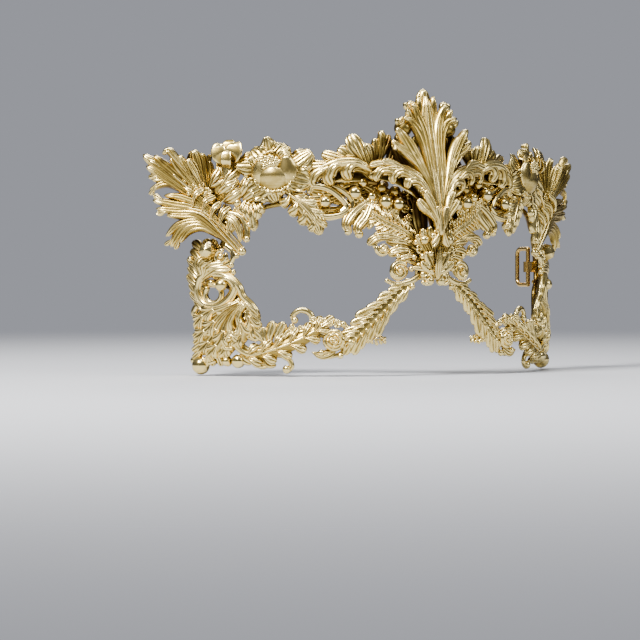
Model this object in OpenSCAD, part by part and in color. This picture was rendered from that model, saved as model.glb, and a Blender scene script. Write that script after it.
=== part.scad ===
// Venetian half mask: gilt castings fixed on a bent wire frame, in millimetres.
// The mask faces -Y, +Z is up, and the origin is the back of the bridge pad.
// "right" nodes are on the wearer's right, which is -X.

/* [Frame] */
// Plan radius of the face curve
face_r = 102; // [98:1:106]
// Backward lean of the part above the bridge, degrees
lean_deg = 8; // [5:1:11]
// Radius of the frame wire
wire_r = 1.2; // [1.0:0.1:1.4]
// Wire centre line, in front of the face curve
wire_out = 1.3; // [1.2:0.05:1.4]

/* [Castings] */
// Thickness of a leaf casting
leaf_th = 2.4; // [2.0:0.1:2.8]
// Extra height of a leaf's raised middle
rib_th = 1.2; // [0.8:0.1:1.6]
// Back of the castings, in front of the face curve
cast_out = 2.2; // [2.1:0.05:2.3]

/* [Strap fittings] */
// Radius of the ring's wire
ring_wire_r = 1.0; // [0.9:0.05:1.1]
// Bore radius of the lug the ring turns in
lug_bore_r = 1.05; // [1.02:0.01:1.08]
// Ring height, centre to centre of its wire
ring_h = 17; // [15:0.5:18]
// Ring depth, bar centre to back centre
ring_d = 9.5; // [9:0.5:10]

/* [Hidden] */
$fn = 32;
lug_y = 46.0;
lug_x = 82;
lug_z = 2;
flare = -30;

// A point on the face curve: angle round the head, height, distance in front of the curve.
function P(phi, z, out = 0) = [(face_r + out) * sin(phi),
  face_r - (face_r + out) * cos(phi) + max(z, 0) * tan(lean_deg), z];
function fr(x) = x - floor(x);
// Half width of a leaf at t, with n lobes a side whose tips point forward.
function half(t, w, n, dep, q = 0.8) = max(0.6, w / 2 * pow(sin(180 * pow(t, q)), 0.7)
  * (1 - dep * (1 - pow(fr(t * n), 0.5))));
function edge(len, w, bow, n, dep, side, m, q = 0.8) = [for (i = [0:m])
  let (k = side > 0 ? i : m - i, t = k / m)
  [len * t, bow * 4 * t * (1 - t) + side * half(t, w, n, dep, q)]];

// Places children with +X running from pa to pb and +Z facing out of the mask.
module span(pa, pb, face) {
  c = pb - pa;
  u = c[0] * cos(face) + c[1] * sin(face);
  d = c[0] * sin(face) - c[1] * cos(face);
  run = sqrt(u * u + c[2] * c[2]);
  translate(pa) rotate([0, 0, face]) rotate([90, 0, 0])
    rotate([0, 0, atan2(c[2], u)]) rotate([0, -atan2(d, run), 0]) children();
}
// Places children facing out of the mask at a point on the face curve.
module at(phi, z, out, turn = 0, face = 999) {
  translate(P(phi, z, out)) rotate([0, 0, face == 999 ? phi : face])
    rotate([90, 0, 0]) rotate([0, 0, turn]) children();
}
// A lobed leaf plate with a raised middle, root at the origin, tip along +X.
module leaf(len, w, bow = 0, n = 4, dep = 0.35, th = leaf_th, q = 0.8) {
  m = n * 8;
  linear_extrude(th) polygon(concat(edge(len, w, bow, n, dep, 1, m, q),
    edge(len, w, bow, n, dep, -1, m, q)));
  translate([0, 0, th - 0.4]) linear_extrude(rib_th + 0.4)
    polygon(concat(edge(len * 0.9, w * 0.4, bow * 0.85, 1, 0, 1, 12),
      edge(len * 0.9, w * 0.4, bow * 0.85, 1, 0, -1, 12)));
}
module leaf_to(pa, pb, face, w, bow = 0, n = 4, dep = 0.35, th = leaf_th, q = 0.8) {
  span(pa, pb, face) leaf(norm(pb - pa), w, bow, n, dep, th, q);
}
// A smooth curve through the points, k steps to a span.
function cl(p, i) = p[max(0, min(len(p) - 1, i))];
function through(p, k) = [for (i = [0:len(p) - 2]) for (j = [0:k - 1 + (i == len(p) - 2 ? 1 : 0)])
  let (t = j / k, a = cl(p, i - 1), b = cl(p, i), c = cl(p, i + 1), d = cl(p, i + 2))
  0.5 * (2 * b + (c - a) * t + (2 * a - 5 * b + 4 * c - d) * t * t + (3 * b - a - 3 * c + d) * t * t * t)];
function unit(v) = v / norm(v);
function run(p, i) = unit(cl(p, i + 1) - cl(p, i - 1));
// A round bar swept along a list of points, with rounded ends; r0 to r1 tapers it.
module tube(pts, r0, r1 = -1, ref = [0, 1, 0], m = 8) {
  e = r1 < 0 ? r0 : r1;
  q = concat([pts[0] - run(pts, 0) * r0 * 0.8], [pts[0] - run(pts, 0) * r0 * 0.45], pts,
    [cl(pts, 9999) + run(pts, len(pts) - 1) * e * 0.45], [cl(pts, 9999) + run(pts, len(pts) - 1) * e * 0.8]);
  n = len(q);
  rr = [for (i = [0:n - 1]) let (f = (i == 0 || i == n - 1) ? 0.4 : (i == 1 || i == n - 2) ? 0.85 : 1)
    f * (r0 + (e - r0) * i / (n - 1))];
  v = [for (i = [0:n - 1]) let (t = run(q, i), a = unit(cross(t, ref)), b = cross(t, a))
    for (k = [0:m - 1]) q[i] + rr[i] * (cos(360 * k / m) * a + sin(360 * k / m) * b)];
  polyhedron(v, concat([[for (k = [0:m - 1]) k]], [[for (k = [m - 1:-1:0]) (n - 1) * m + k]],
    [for (i = [0:n - 2]) for (k = [0:m - 1])
      [i * m + k, (i + 1) * m + k, (i + 1) * m + (k + 1) % m, i * m + (k + 1) % m]]), 4);
}
module bar(pts, r, ref = [0, 1, 0]) { tube(through(pts, 3), r, -1, ref); }
// A straight round bar from a to b.
module straight(a, b, r) {
  d = b - a;
  translate(a) rotate([0, acos(d[2] / norm(d)), atan2(d[1], d[0])]) cylinder(h = norm(d), r = r);
}
// A spiral scroll in its own plane, from the outer end inward.
module coil(r0, r1, wire, turns, start = 0) {
  tube([for (i = [0:round(turns * 12)]) let (t = i / round(turns * 12),
    a = start + 360 * turns * t, r = r0 + (r1 - r0) * t) [r * cos(a), r * sin(a), 0]],
    wire, wire * 0.8, [0, 0, 1]);
}
module arc_bar(r, wire, a0, a1) {
  tube([for (i = [0:14]) let (a = a0 + (a1 - a0) * i / 14) [r * cos(a), r * sin(a), 0]],
    wire, wire * 0.9, [0, 0, 1]);
}
module other() { mirror([1, 0, 0]) children(); }

module bridge_plate() { color("goldenrod")
  translate([-7, -2.5, -4]) cube([14, 2.5, 18]);
}
module centre_plume() { color("gold") {
  leaf_to([0, -9, 14], [0, 3.5, 81], 0, 31, 0, 6, 0.3, 3.2, 1.7);
  for (s = [-1, 1]) {
    leaf_to([s * 2, -7.6, 24], [s * 21, -2, 62], s * 4, 11, -s * 4, 2, 0.25, 3);
    translate([s * 9, 0.6, 73]) sphere(3.4);
    translate([s * 12.4, -0.8, 67.5]) sphere(3.2);
  }
  translate([0, -9.2, 6.5]) cylinder(h = 17.5, r1 = 2.4, r2 = 5.2);
} }
module plume_blade() { color("khaki") {
  leaf_to([-4, -3.4, 31], [-30.5, 2.6, 45], -12, 11, 5, 3, 0.25, 2.8);
  translate([-10.5, 2.5, 63]) sphere(4.2);
  bar([[-10.5, 3.5, 63], [-8, 2, 50], [-6.5, -3.6, 36]], 1.4);
} }
module bridge_shell() { color("gold") {
  translate([0, -2.3, 1]) rotate([90, 0, 0]) cylinder(h = 4, r = 7.5);
  for (a = [-60:30:60]) translate([0, -3.2, 3]) rotate([0, a, 0]) cylinder(h = 11, r1 = 1.2, r2 = 2.1);
  translate([0, -6.4, 5]) sphere(4.4);
  for (s = [-1, 1]) for (k = [0:2]) translate([s * (3.2 + k * 1.4), -6, -4.5 + k * 1.2]) sphere(2.3);
} }

module brow_wire() { color("peru")
  bar([for (q = [[-4.2, 10, 2.4], [-8, 17, 0.4], [-15, 26], [-25, 31], [-35, 30], [-44, 26], [-50, 17]])
    P(q[0], q[1], wire_out + (len(q) > 2 ? q[2] : 0))], wire_r);
}
module side_wire() { color("peru")
  bar([for (q = [[-50, 17], [-53.2, 8], [-53.2, -4], [-48.5, -10], [-48.5, -20], [-52, -31],
    [-57, -40]]) P(q[0], q[1], wire_out)], wire_r);
}
module cheek_wire() { color("peru")
  bar([for (q = [[-57, -40], [-48, -39.5], [-40, -35], [-31, -28], [-23, -30]])
    P(q[0], q[1], wire_out)], wire_r);
}
module star_leaf() { color("khaki") {
  c = P(-15.3, 42, cast_out + 2);
  leaf_to(c, P(-19.6, 59, cast_out + 3), -17, 9, 2, 2, 0.3, 2.6);
  leaf_to(c, P(-11, 62, cast_out + 3), -13, 8, -2, 2, 0.3, 2.6);
  leaf_to(c, P(-26.5, 43, cast_out + 2), -21, 9, 3, 3, 0.3, 2.6);
  leaf_to(P(-22, 46.5, cast_out + 2), P(-27, 36, cast_out), -25, 7, 2, 2, 0.3, 2.4);
  translate(c + [0, -1.5, 0]) sphere(2.6);
} }
module pearl_scroll() { color("gold") {
  at(-25.3, 30.6, cast_out + 2) arc_bar(5.4, 1.6, 150, 400);
  bar([P(-27.4, 25.6, cast_out + 1.2), P(-24, 24.2, cast_out + 1), P(-20, 25.4, cast_out + 0.6)], 1.5);
  translate(P(-25.3, 30.6, cast_out + 2.6)) sphere(3.1);
  translate(P(-19, 37, cast_out + 2)) sphere(3);
  translate(P(-11.2, 31.6, cast_out + 2.4)) sphere(3.4);
  translate(P(-12.5, 38, cast_out + 1.6)) sphere(2.4);
  bar([P(-25, 31, cast_out + 0.2), P(-19, 37, cast_out), P(-12.5, 37, cast_out - 0.4),
    P(-11.2, 31.6, cast_out - 0.4)], 1.1);
} }
module blossom_cluster() { color("gold") {
  for (q = [[-6.2, 30], [-8.8, 26.4], [-5.6, 25], [-3.6, 28], [-10.6, 24.6], [-3.8, 21.6], [-8, 21.4]])
    translate(P(q[0], q[1], cast_out + 1.6)) sphere(2.3);
  at(-6.8, 25.4, cast_out - 0.6) cylinder(h = 2, r = 5.6);
} }
module brow_frond() { color("khaki")
  leaf_to(P(-3.6, 13.5, cast_out + 4.2), P(-18.5, 31, cast_out + 1.2), -10, 8.5, -1.6, 8, 0.25, 2);
}
module drop_leaf() { color("khaki") {
  leaf_to(P(-15.6, 32, cast_out), P(-18.6, 17.6, cast_out), -17, 7, 0.6, 1, 0);
  leaf_to(P(-15.8, 30, cast_out), P(-21.6, 17.2, cast_out), -19, 6, -0.8, 1, 0);
  for (q = [[-18.2, 18.4], [-21, 18.4]]) translate(P(q[0], q[1], cast_out + 1.6)) sphere(2.5);
} }
module brow_curls() { color("gold") {
  bar([P(-4, 9.5, cast_out + 1.6), P(-8, 14, cast_out + 1), P(-12.6, 13.6, cast_out + 1),
    P(-14.2, 10.6, cast_out + 1)], 1.4);
  translate(P(-12.3, 8.3, cast_out + 1.4)) sphere(2.7);
  translate(P(-8.2, 10, cast_out + 1.6)) sphere(2.5);
} }
module coil_rosette() { color("gold") {
  at(-8.6, 0, cast_out + 1) cylinder(h = 2.2, r = 4.4);
  at(-8.6, 0, cast_out + 3.2) coil(3.4, 0.9, 0.72, 1.5, 40);
  bar([P(-3.2, -1, cast_out + 1.6), P(-6.6, -5, cast_out + 1.4), P(-9.6, -5.4, cast_out + 1)], 1.6);
} }
module nose_feather() { color("khaki") {
  leaf_to(P(-4.6, -4.4, cast_out), P(-22.8, -32.5, cast_out), -14, 10, 0, 9, 0.28, 2.2);
  leaf_to(P(-15, -24.5, cast_out - 0.4), P(-13.2, -31, cast_out), -14, 5, 0.6, 2, 0.3, 1.8);
} }
module rose() { color("gold") {
  at(-24.8, -29.6, cast_out - 0.6) cylinder(h = 2.6, r = 4.8);
  for (a = [0:72:288]) at(-24.8, -29.6, cast_out + 1.6) rotate([0, 0, a])
    translate([2.6, 0, 0]) sphere(2.2);
  translate(P(-24.8, -29.6, cast_out + 3)) sphere(1.9);
  translate(P(-20.4, -26.6, cast_out + 1)) sphere(1.7);
  translate(P(-22.6, -22.6, cast_out + 0.8)) sphere(1.5);
  bar([P(-24.8, -29.6, cast_out), P(-20.4, -26.6, cast_out), P(-22.6, -22.6, cast_out)], 1);
} }
module cheek_leaf() { color("khaki") {
  leaf_to(P(-45, -36.4, cast_out), P(-25.6, -21.6, cast_out), -35, 11.5, 0, 7, 0.3, 2.2);
  leaf_to(P(-36.5, -28.5, cast_out - 0.3), P(-39.5, -21.4, cast_out), -38, 6, 0.5, 2, 0.3, 2);
} }
module cheek_curls() { color("gold") {
  at(-32.4, -21.6, cast_out + 1) arc_bar(4.4, 1.25, -50, 205);
  bar([P(-38.6, -36.4, cast_out), P(-36.6, -38, cast_out + 0.4), P(-35.2, -42.4, cast_out + 0.6)], 1.15);
  translate(P(-35.6, -43.6, cast_out + 0.9)) sphere(2.1);
  at(-43, -31.6, cast_out + 1) arc_bar(5, 1.3, 130, 330);
} }
module corner_acanthus() { color("khaki") {
  leaf_to(P(-46.4, -13.5, cast_out - 0.2), P(-56.2, -40.6, cast_out), -50, 20, 1.5, 5, 0.22, 2.6);
  leaf_to(P(-45.8, -13.5, cast_out), P(-44.6, -27.6, cast_out), -45, 9, 1, 3, 0.3, 2.4);
} }
module corner_knob() { color("gold") {
  translate(P(-58, -42, cast_out + 0.6)) sphere(4.1);
  translate(P(-53.2, -41, cast_out)) sphere(2.1);
  translate(P(-48.6, -40.4, cast_out + 0.4)) sphere(3.1);
  straight(P(-58, -42, cast_out - 0.2), P(-53.2, -41, cast_out - 0.3), 1.2);
  straight(P(-53.2, -41, cast_out - 0.3), P(-48.6, -40.4, cast_out), 1.2);
} }
module side_volute() { color("gold") {
  at(-54.4, -10.2, cast_out + 1.4) arc_bar(6.3, 2.7, 60, 400);
  translate(P(-51.6, -6.6, cast_out + 2)) sphere(2.8);
  at(-52.6, -20.6, cast_out + 0.8) arc_bar(4.4, 1.7, 100, 330);
} }
module temple_frond() { color("khaki") {
  leaf_to(P(-59, -17.5, cast_out - 0.6), P(-57.6, 9.5, cast_out - 0.2), -58.5, 6.5, 1.8, 5, 0.3, 2);
  leaf_to(P(-58.6, -2.6, cast_out - 0.2), P(-51.4, 2.8, cast_out), -55, 7, 1, 3, 0.3, 2);
} }
// A bead cut with flat faces, r from its centre to the flats.
module cut_bead(r) {
  intersection_for(a = [[0, 0, 0], [45, 0, 0], [0, 45, 0], [0, 0, 45]]) rotate(a) cube(2 * r, center = true);
}
module faceted_bead() { color("gold") {
  at(-55.2, 9, cast_out - 0.6) cylinder(h = 3, r = 5);
  at(-55.7, 9.4, cast_out + 2.6) cut_bead(3.6);
  translate(P(-51.4, 6.6, cast_out + 1.7)) sphere(2.4);
  for (q = [[-59.6, 1.4, 1.6], [-59.8, -5.2, 1.2]]) {
    translate(P(q[0], q[1], cast_out - 3.6)) sphere(q[2]);
    straight(P(q[0], q[1], cast_out - 3.6), P(-57.6, q[1], cast_out - 0.3), 0.8);
  }
} }
module temple_spiral() { color("gold") {
  at(-50, 19.8, cast_out + 1.2) coil(4.8, 1, 1.15, 1.5, 160);
  at(-50, 19.8, cast_out - 0.6) cylinder(h = 1.6, r = 5.2);
} }
module cup_flower() { color("gold") {
  for (q = [[-51, 54.6], [-46.8, 53.8], [-48.7, 56.6]]) translate(P(q[0], q[1], cast_out + 2.5)) sphere(3.9);
  span(P(-48.8, 54, cast_out + 1), P(-49.6, 40, cast_out), -49) rotate([0, 90, 0])
    cylinder(h = 13.6, r1 = 4.4, r2 = 3);
  at(-50.4, 35.6, cast_out) difference() {
    cylinder(h = 6, r1 = 6, r2 = 7.4);
    translate([0, 0, 2.4]) cylinder(h = 4, r1 = 4.4, r2 = 6.6);
  }
  leaf_to(P(-52, 31, cast_out - 0.4), P(-59.6, 52.5, cast_out), -56, 11, 1, 3, 0.25, 2.4);
} }
module peony() { color("gold") {
  at(-37.2, 43.2, cast_out) {
    for (k = [0:7]) rotate([0, 0, k * 45 + 22]) translate([10.6, 0, 0]) cylinder(h = 3, r = 6.2);
    translate([0, 0, -0.8]) cylinder(h = 4, r = 12);
    for (s = [-1, 1]) translate([s * 5.6, -2.2, 2]) intersection() {
      sphere(7.2);
      translate([-10, -10, 0]) cube([20, 20, 6]);
    }
    for (k = [0:6]) translate([2.6 * cos(k * 60), 3 + 2.6 * sin(k * 60), 6.6]) sphere(1.8);
  }
} }
module hanging_leaf() { color("khaki") {
  leaf_to(P(-34.2, 32, cast_out - 0.4), P(-26.8, 15.8, cast_out), -31, 14, 1.4, 4, 0.32, 2.4);
  leaf_to(P(-43.4, 30, cast_out - 0.4), P(-43, 18.2, cast_out), -43, 6.5, 0, 3, 0.3, 3);
  translate(P(-44.6, 27.2, cast_out + 1.4)) sphere(2.3);
} }
module corner_leaf_upper() { color("khaki") {
  r0 = P(-50.6, 24, cast_out + 0.6);
  leaf_to(r0, [-113, 60, 52], flare, 17, 2, 4, 0.3, 2.6);
  leaf_to([-94, 45.5, 36], [-99.5, 49, 54], flare, 8.5, -1.5, 2, 0.3, 2.4);
  leaf_to([-92, 44.5, 36], [-109, 57.5, 36.5], flare, 7, 2.4, 2, 0.3, 2.4);
} }
module corner_leaf_lower() { color("khaki") {
  r0 = P(-47.6, 10, cast_out + 2.4);
  leaf_to(r0, [-109, 55.6, 31], flare, 12, -3, 4, 0.3, 2.6);
  leaf_to([-85, 38.4, 20.5], [-100, 52, 13.4], flare, 9, 3.6, 3, 0.3, 2.4);
} }
module strap_lug() { color("goldenrod")
  difference() {
    union() {
      translate([-lug_x, lug_y, lug_z - 2.5]) cylinder(h = 5, r = 2.2);
      translate([-lug_x - 1.4, lug_y - 5.6, lug_z - 2.5]) cube([2.8, 4.6, 5]);
    }
    translate([-lug_x, lug_y, lug_z - 4]) cylinder(h = 8, r = lug_bore_r);
  }
}
module strap_ring() { color("silver") translate([-lug_x, lug_y, lug_z]) {
  h = ring_h / 2;
  c = 3;
  translate([0, 0, -h]) cylinder(h = ring_h, r = ring_wire_r);
  for (s = [-1, 1]) {
    translate([0, 0, s * h]) sphere(ring_wire_r);
    translate([0, 0, s * h]) rotate([-90, 0, 0]) cylinder(h = ring_d - c, r = ring_wire_r);
    translate([0, ring_d - c, s * (h - c)]) rotate([0, 90, 0]) rotate([0, 0, s > 0 ? 90 : 0])
      rotate_extrude(angle = 90) translate([c, 0]) circle(ring_wire_r);
  }
  translate([0, ring_d, c - h]) cylinder(h = ring_h - 2 * c, r = ring_wire_r);
} }

bridge_plate();
centre_plume();
bridge_shell();
brow_wire();  // brow_wire_right
other() brow_wire();  // brow_wire_left
side_wire();  // side_wire_right
other() side_wire();  // side_wire_left
cheek_wire();  // cheek_wire_right
other() cheek_wire();  // cheek_wire_left
star_leaf();  // star_leaf_right
other() star_leaf();  // star_leaf_left
pearl_scroll();  // pearl_scroll_right
other() pearl_scroll();  // pearl_scroll_left
blossom_cluster();  // blossom_cluster_right
other() blossom_cluster();  // blossom_cluster_left
brow_frond();  // brow_frond_right
other() brow_frond();  // brow_frond_left
drop_leaf();  // drop_leaf_right
other() drop_leaf();  // drop_leaf_left
brow_curls();  // brow_curls_right
other() brow_curls();  // brow_curls_left
plume_blade();  // plume_blade_right
other() plume_blade();  // plume_blade_left
coil_rosette();  // coil_rosette_right
other() coil_rosette();  // coil_rosette_left
nose_feather();  // nose_feather_right
other() nose_feather();  // nose_feather_left
rose();  // rose_right
other() rose();  // rose_left
cheek_leaf();  // cheek_leaf_right
other() cheek_leaf();  // cheek_leaf_left
cheek_curls();  // cheek_curls_right
other() cheek_curls();  // cheek_curls_left
corner_acanthus();  // corner_acanthus_right
other() corner_acanthus();  // corner_acanthus_left
corner_knob();  // corner_knob_right
other() corner_knob();  // corner_knob_left
side_volute();  // side_volute_right
other() side_volute();  // side_volute_left
temple_frond();  // temple_frond_right
other() temple_frond();  // temple_frond_left
faceted_bead();  // faceted_bead_right
other() faceted_bead();  // faceted_bead_left
cup_flower();  // cup_flower_right
other() cup_flower();  // cup_flower_left
peony();  // peony_right
other() peony();  // peony_left
hanging_leaf();  // hanging_leaf_right
other() hanging_leaf();  // hanging_leaf_left
temple_spiral();  // temple_spiral_right
other() temple_spiral();  // temple_spiral_left
corner_leaf_upper();  // corner_leaf_upper_right
other() corner_leaf_upper();  // corner_leaf_upper_left
corner_leaf_lower();  // corner_leaf_lower_right
other() corner_leaf_lower();  // corner_leaf_lower_left
strap_lug();  // strap_lug_right
other() strap_lug();  // strap_lug_left
strap_ring();  // strap_ring_right
other() strap_ring();  // strap_ring_left
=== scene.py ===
"""Builds the looks of a gilt openwork half mask: castings and beads on a wire frame."""

import logging
import math
from dataclasses import dataclass, field
from enum import Enum
from typing import Callable, Optional, Sequence

import bmesh
import bpy
import numpy as np
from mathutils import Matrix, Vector


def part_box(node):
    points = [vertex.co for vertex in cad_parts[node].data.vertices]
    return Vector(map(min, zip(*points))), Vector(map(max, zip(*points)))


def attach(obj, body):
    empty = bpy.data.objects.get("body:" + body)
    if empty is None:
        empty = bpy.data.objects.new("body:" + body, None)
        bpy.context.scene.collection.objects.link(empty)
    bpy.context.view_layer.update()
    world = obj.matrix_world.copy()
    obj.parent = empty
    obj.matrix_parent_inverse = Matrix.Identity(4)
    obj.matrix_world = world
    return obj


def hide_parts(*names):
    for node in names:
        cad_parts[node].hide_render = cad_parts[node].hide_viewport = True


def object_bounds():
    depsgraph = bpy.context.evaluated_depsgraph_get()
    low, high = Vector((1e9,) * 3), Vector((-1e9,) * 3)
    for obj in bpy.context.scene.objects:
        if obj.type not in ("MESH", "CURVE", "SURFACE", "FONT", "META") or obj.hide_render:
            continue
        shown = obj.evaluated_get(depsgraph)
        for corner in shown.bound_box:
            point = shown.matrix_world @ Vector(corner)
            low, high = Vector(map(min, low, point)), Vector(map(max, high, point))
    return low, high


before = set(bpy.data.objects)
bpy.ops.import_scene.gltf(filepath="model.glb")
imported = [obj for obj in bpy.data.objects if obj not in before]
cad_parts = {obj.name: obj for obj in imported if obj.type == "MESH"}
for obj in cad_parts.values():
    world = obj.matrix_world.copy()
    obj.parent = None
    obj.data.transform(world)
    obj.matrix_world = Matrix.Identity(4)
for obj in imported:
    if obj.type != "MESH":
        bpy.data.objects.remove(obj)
CAD_LOW, CAD_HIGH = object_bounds()
MM = 0.001
LOG = logging.getLogger("mask")
Array = np.ndarray


class Side(Enum):
    """The wearer's side a casting sits on; the value is the sign of its X against the right-hand master."""

    RIGHT = 1
    LEFT = -1


class Outline(Enum):
    """Outline of a blade, as the two powers (where it is widest, how blunt it is)."""

    SPEAR = (0.75, 0.9)
    FINGER = (1.0, 0.5)
    PADDLE = (1.55, 0.55)
    PETAL = (1.25, 0.42)
    CLUB = (2.4, 0.5)


@dataclass(frozen=True)
class FaceCurve:
    """The curve of the face that the castings are seated on, in millimetres and degrees."""

    radius: float = 102.0
    lean: float = 8.0

    def at(self, phi: float, z: float, out: float = 0.0) -> Array:
        """Gives a point on the curve.

        Args:
            phi: Angle round the head, 0 at the nose.
            z: Height above the nose bridge.
            out: Distance in front of the curve.

        Returns:
            The point, in millimetres.
        """
        a = math.radians(phi)
        back = self.radius - (self.radius + out) * math.cos(a)
        return np.array([(self.radius + out) * math.sin(a),
                back + max(z, 0.0) * math.tan(math.radians(self.lean)), z])

    def outward(self, points: Array, facing: Optional[float]) -> Array:
        """Gives the outward direction at each point, or the same one everywhere if facing is given.

        Args:
            points: Points in millimetres, one a row.
            facing: Fixed angle round the head, in degrees, or None.

        Returns:
            Unit directions, one a row.
        """
        if facing is not None:
            a = math.radians(facing)
            return np.tile([math.sin(a), -math.cos(a), 0.12], (len(points), 1))
        out = np.stack([points[:, 0], points[:, 1] - self.radius, np.zeros(len(points))], 1)
        out /= np.linalg.norm(out, axis=1)[:, None]
        out[:, 2] = 0.1
        return out


FACE = FaceCurve()


def seat(phi: float, z: float, out: float = 0.0) -> Array:
    """Gives a point seated on the face curve, from its angle, height and distance in front."""
    return FACE.at(phi, z, out)


def spot(x: float, y: float, z: float) -> Array:
    """Gives a free point, in millimetres."""
    return np.array([x, y, z], float)


@dataclass
class Spine:
    """A smooth line through a few points, with an outward and a sideways direction along it."""

    points: Sequence[Array]
    facing: Optional[float] = None

    def sample(self, t: Array) -> tuple[Array, Array, Array, Array]:
        """Samples the line evenly by its length.

        Args:
            t: Places along the line, 0 to 1.

        Returns:
            Points, tangents, outward directions and sideways directions.
        """
        p = np.array(self.points, float)
        p = np.vstack([2 * p[0] - p[1], p, 2 * p[-1] - p[-2]])
        fine = []
        for i in range(1, len(p) - 2):
            a, b, c, d = p[i - 1], p[i], p[i + 1], p[i + 2]
            s = np.linspace(0, 1, 24, endpoint=i == len(p) - 3)[:, None]
            fine.append(0.5 * (2 * b + (c - a) * s + (2 * a - 5 * b + 4 * c - d) * s**2 + (
                        3 * b - a - 3 * c + d) * s**3))
        q = np.vstack(fine)
        run = np.concatenate([[0], np.cumsum(np.linalg.norm(np.diff(q, axis=0), axis=1))])
        run /= run[-1]
        at = np.stack([np.interp(t, run, q[:, k]) for k in range(3)], 1)
        slope = np.gradient(q, axis=0)
        tangent = np.stack([np.interp(t, run, slope[:, k]) for k in range(3)], 1)
        tangent /= np.linalg.norm(tangent, axis=1)[:, None]
        out = FACE.outward(at, self.facing)
        out -= (out * tangent).sum(1)[:, None] * tangent
        out /= np.linalg.norm(out, axis=1)[:, None]
        return at, tangent, out, np.cross(tangent, out)


def formed_grid(bm: bmesh.types.BMesh, along: int, across: int,
    shape: Callable[[Array, Array], Array]) -> None:
    """Adds a grid bent into a closed form.

    Args:
        bm: The mesh it is added to.
        along: Steps along the form.
        across: Steps round the form, whose last step meets its first.
        shape: Gives the points for places (along, round), each 0 to 1.
    """
    part = bmesh.new()
    bmesh.ops.create_grid(part, x_segments=along, y_segments=across, size=1.0)
    flat = np.array([v.co for v in part.verts])
    placed = shape((flat[:, 0] + 1) / 2, (flat[:, 1] + 1) / 2) * MM
    for v, co in zip(part.verts, placed.tolist()):
        v.co = co
    bmesh.ops.remove_doubles(part, verts=part.verts, dist=1e-6)
    bmesh.ops.recalc_face_normals(part, faces=part.faces)
    shell = bpy.data.meshes.new("shell")
    part.to_mesh(shell)
    part.free()
    bm.from_mesh(shell)
    bpy.data.meshes.remove(shell)


@dataclass
class Blade:
    """One fluted leaf blade or petal: a closed lens-shaped form along a spine."""

    points: Sequence[Array]
    width: float
    outline: Outline = Outline.SPEAR
    flutes: int = 5
    depth: float = 0.5
    thick: float = 1.5
    cup: float = 0.0
    curl: float = 0.0
    ruffle: float = 0.0
    ruffles: int = 4
    lobes: int = 0
    notch: float = 0.3
    root: float = 0.25
    facing: Optional[float] = None
    along: int = 44
    front: int = 26
    rear: int = 8

    def half_width(self, t: Array) -> Array:
        """Gives the half width at each place along the blade, lobes included.

        Args:
            t: Places along the blade, 0 to 1.

        Returns:
            Half widths in millimetres.
        """
        where, blunt = self.outline.value
        w = np.sin(np.pi * np.clip(t, 0, 1) ** where) ** blunt
        w = np.maximum(w, self.root * (1 - t) * np.minimum(1, t * 30))
        if self.lobes:
            f = (t * self.lobes) % 1.0
            w = w * (1 - self.notch * (1 - np.sin(np.pi * f**1.5) ** 0.6))
        return w * self.width / 2

    def build(self, bm: bmesh.types.BMesh) -> None:
        """Adds the blade to a mesh.

        Args:
            bm: The mesh.
        """
        spine = Spine(self.points, self.facing)

        def shape(u: Array, s: Array) -> Array:
            """Bends the flat grid into the form.

            Args:
                u: Places along the form.
                s: Places round the form.

            Returns:
                Points in millimetres.
            """
            at, _, out, side = spine.sample(u)
            split = self.front / (self.front + self.rear)
            ahead = s <= split + 1e-9
            v = np.where(ahead, -1 + 2 * s / split, 1 - 2 * (s - split) / (1 - split))
            w = self.half_width(u)
            end = np.minimum(1, np.minimum(u, 1 - u) * 14)
            dome = np.sqrt(np.clip(1 - v**2, 0, 1)) * end**0.5
            high = np.where(ahead, 0.62, -0.38) * self.thick * dome
            if self.flutes:
                turn = self.flutes * (v + 1) / 2
                fade = np.minimum(1, w / (0.28 * self.flutes + 0.01)) * end
                groove = np.abs(np.cos(np.pi * turn)) ** 0.75 if self.flutes % 2 else np.abs(
                    np.sin(np.pi * turn)) ** 0.75
                high = high + np.where(ahead, 1, 0.25) * self.depth * (groove - 0.5) * fade
            if self.lobes:
                f = (u * self.lobes - np.abs(v) * 0.9) % 1.0
                high = high + np.where(ahead, 1,
                    0.2) * 0.5 * self.depth * (np.sin(np.pi * f) ** 0.6 - 0.6) * np.minimum(1,
                    np.abs(v) * 2) * end
            high = high + self.cup * v**2 * w / max(self.width / 2, 0.1)
            high = high + self.ruffle * np.sin(2 * np.pi * self.ruffles * u + 0.6) * np.abs(
                v) ** 2.5 * np.sign(v + 1e-9) ** 2
            high = high + self.curl * np.clip((u - 0.55) / 0.45, 0, 1) ** 2.2
            return at + side * (v * w)[:, None] + out * high[:, None]

        formed_grid(bm, self.along, self.front + self.rear, shape)


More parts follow.
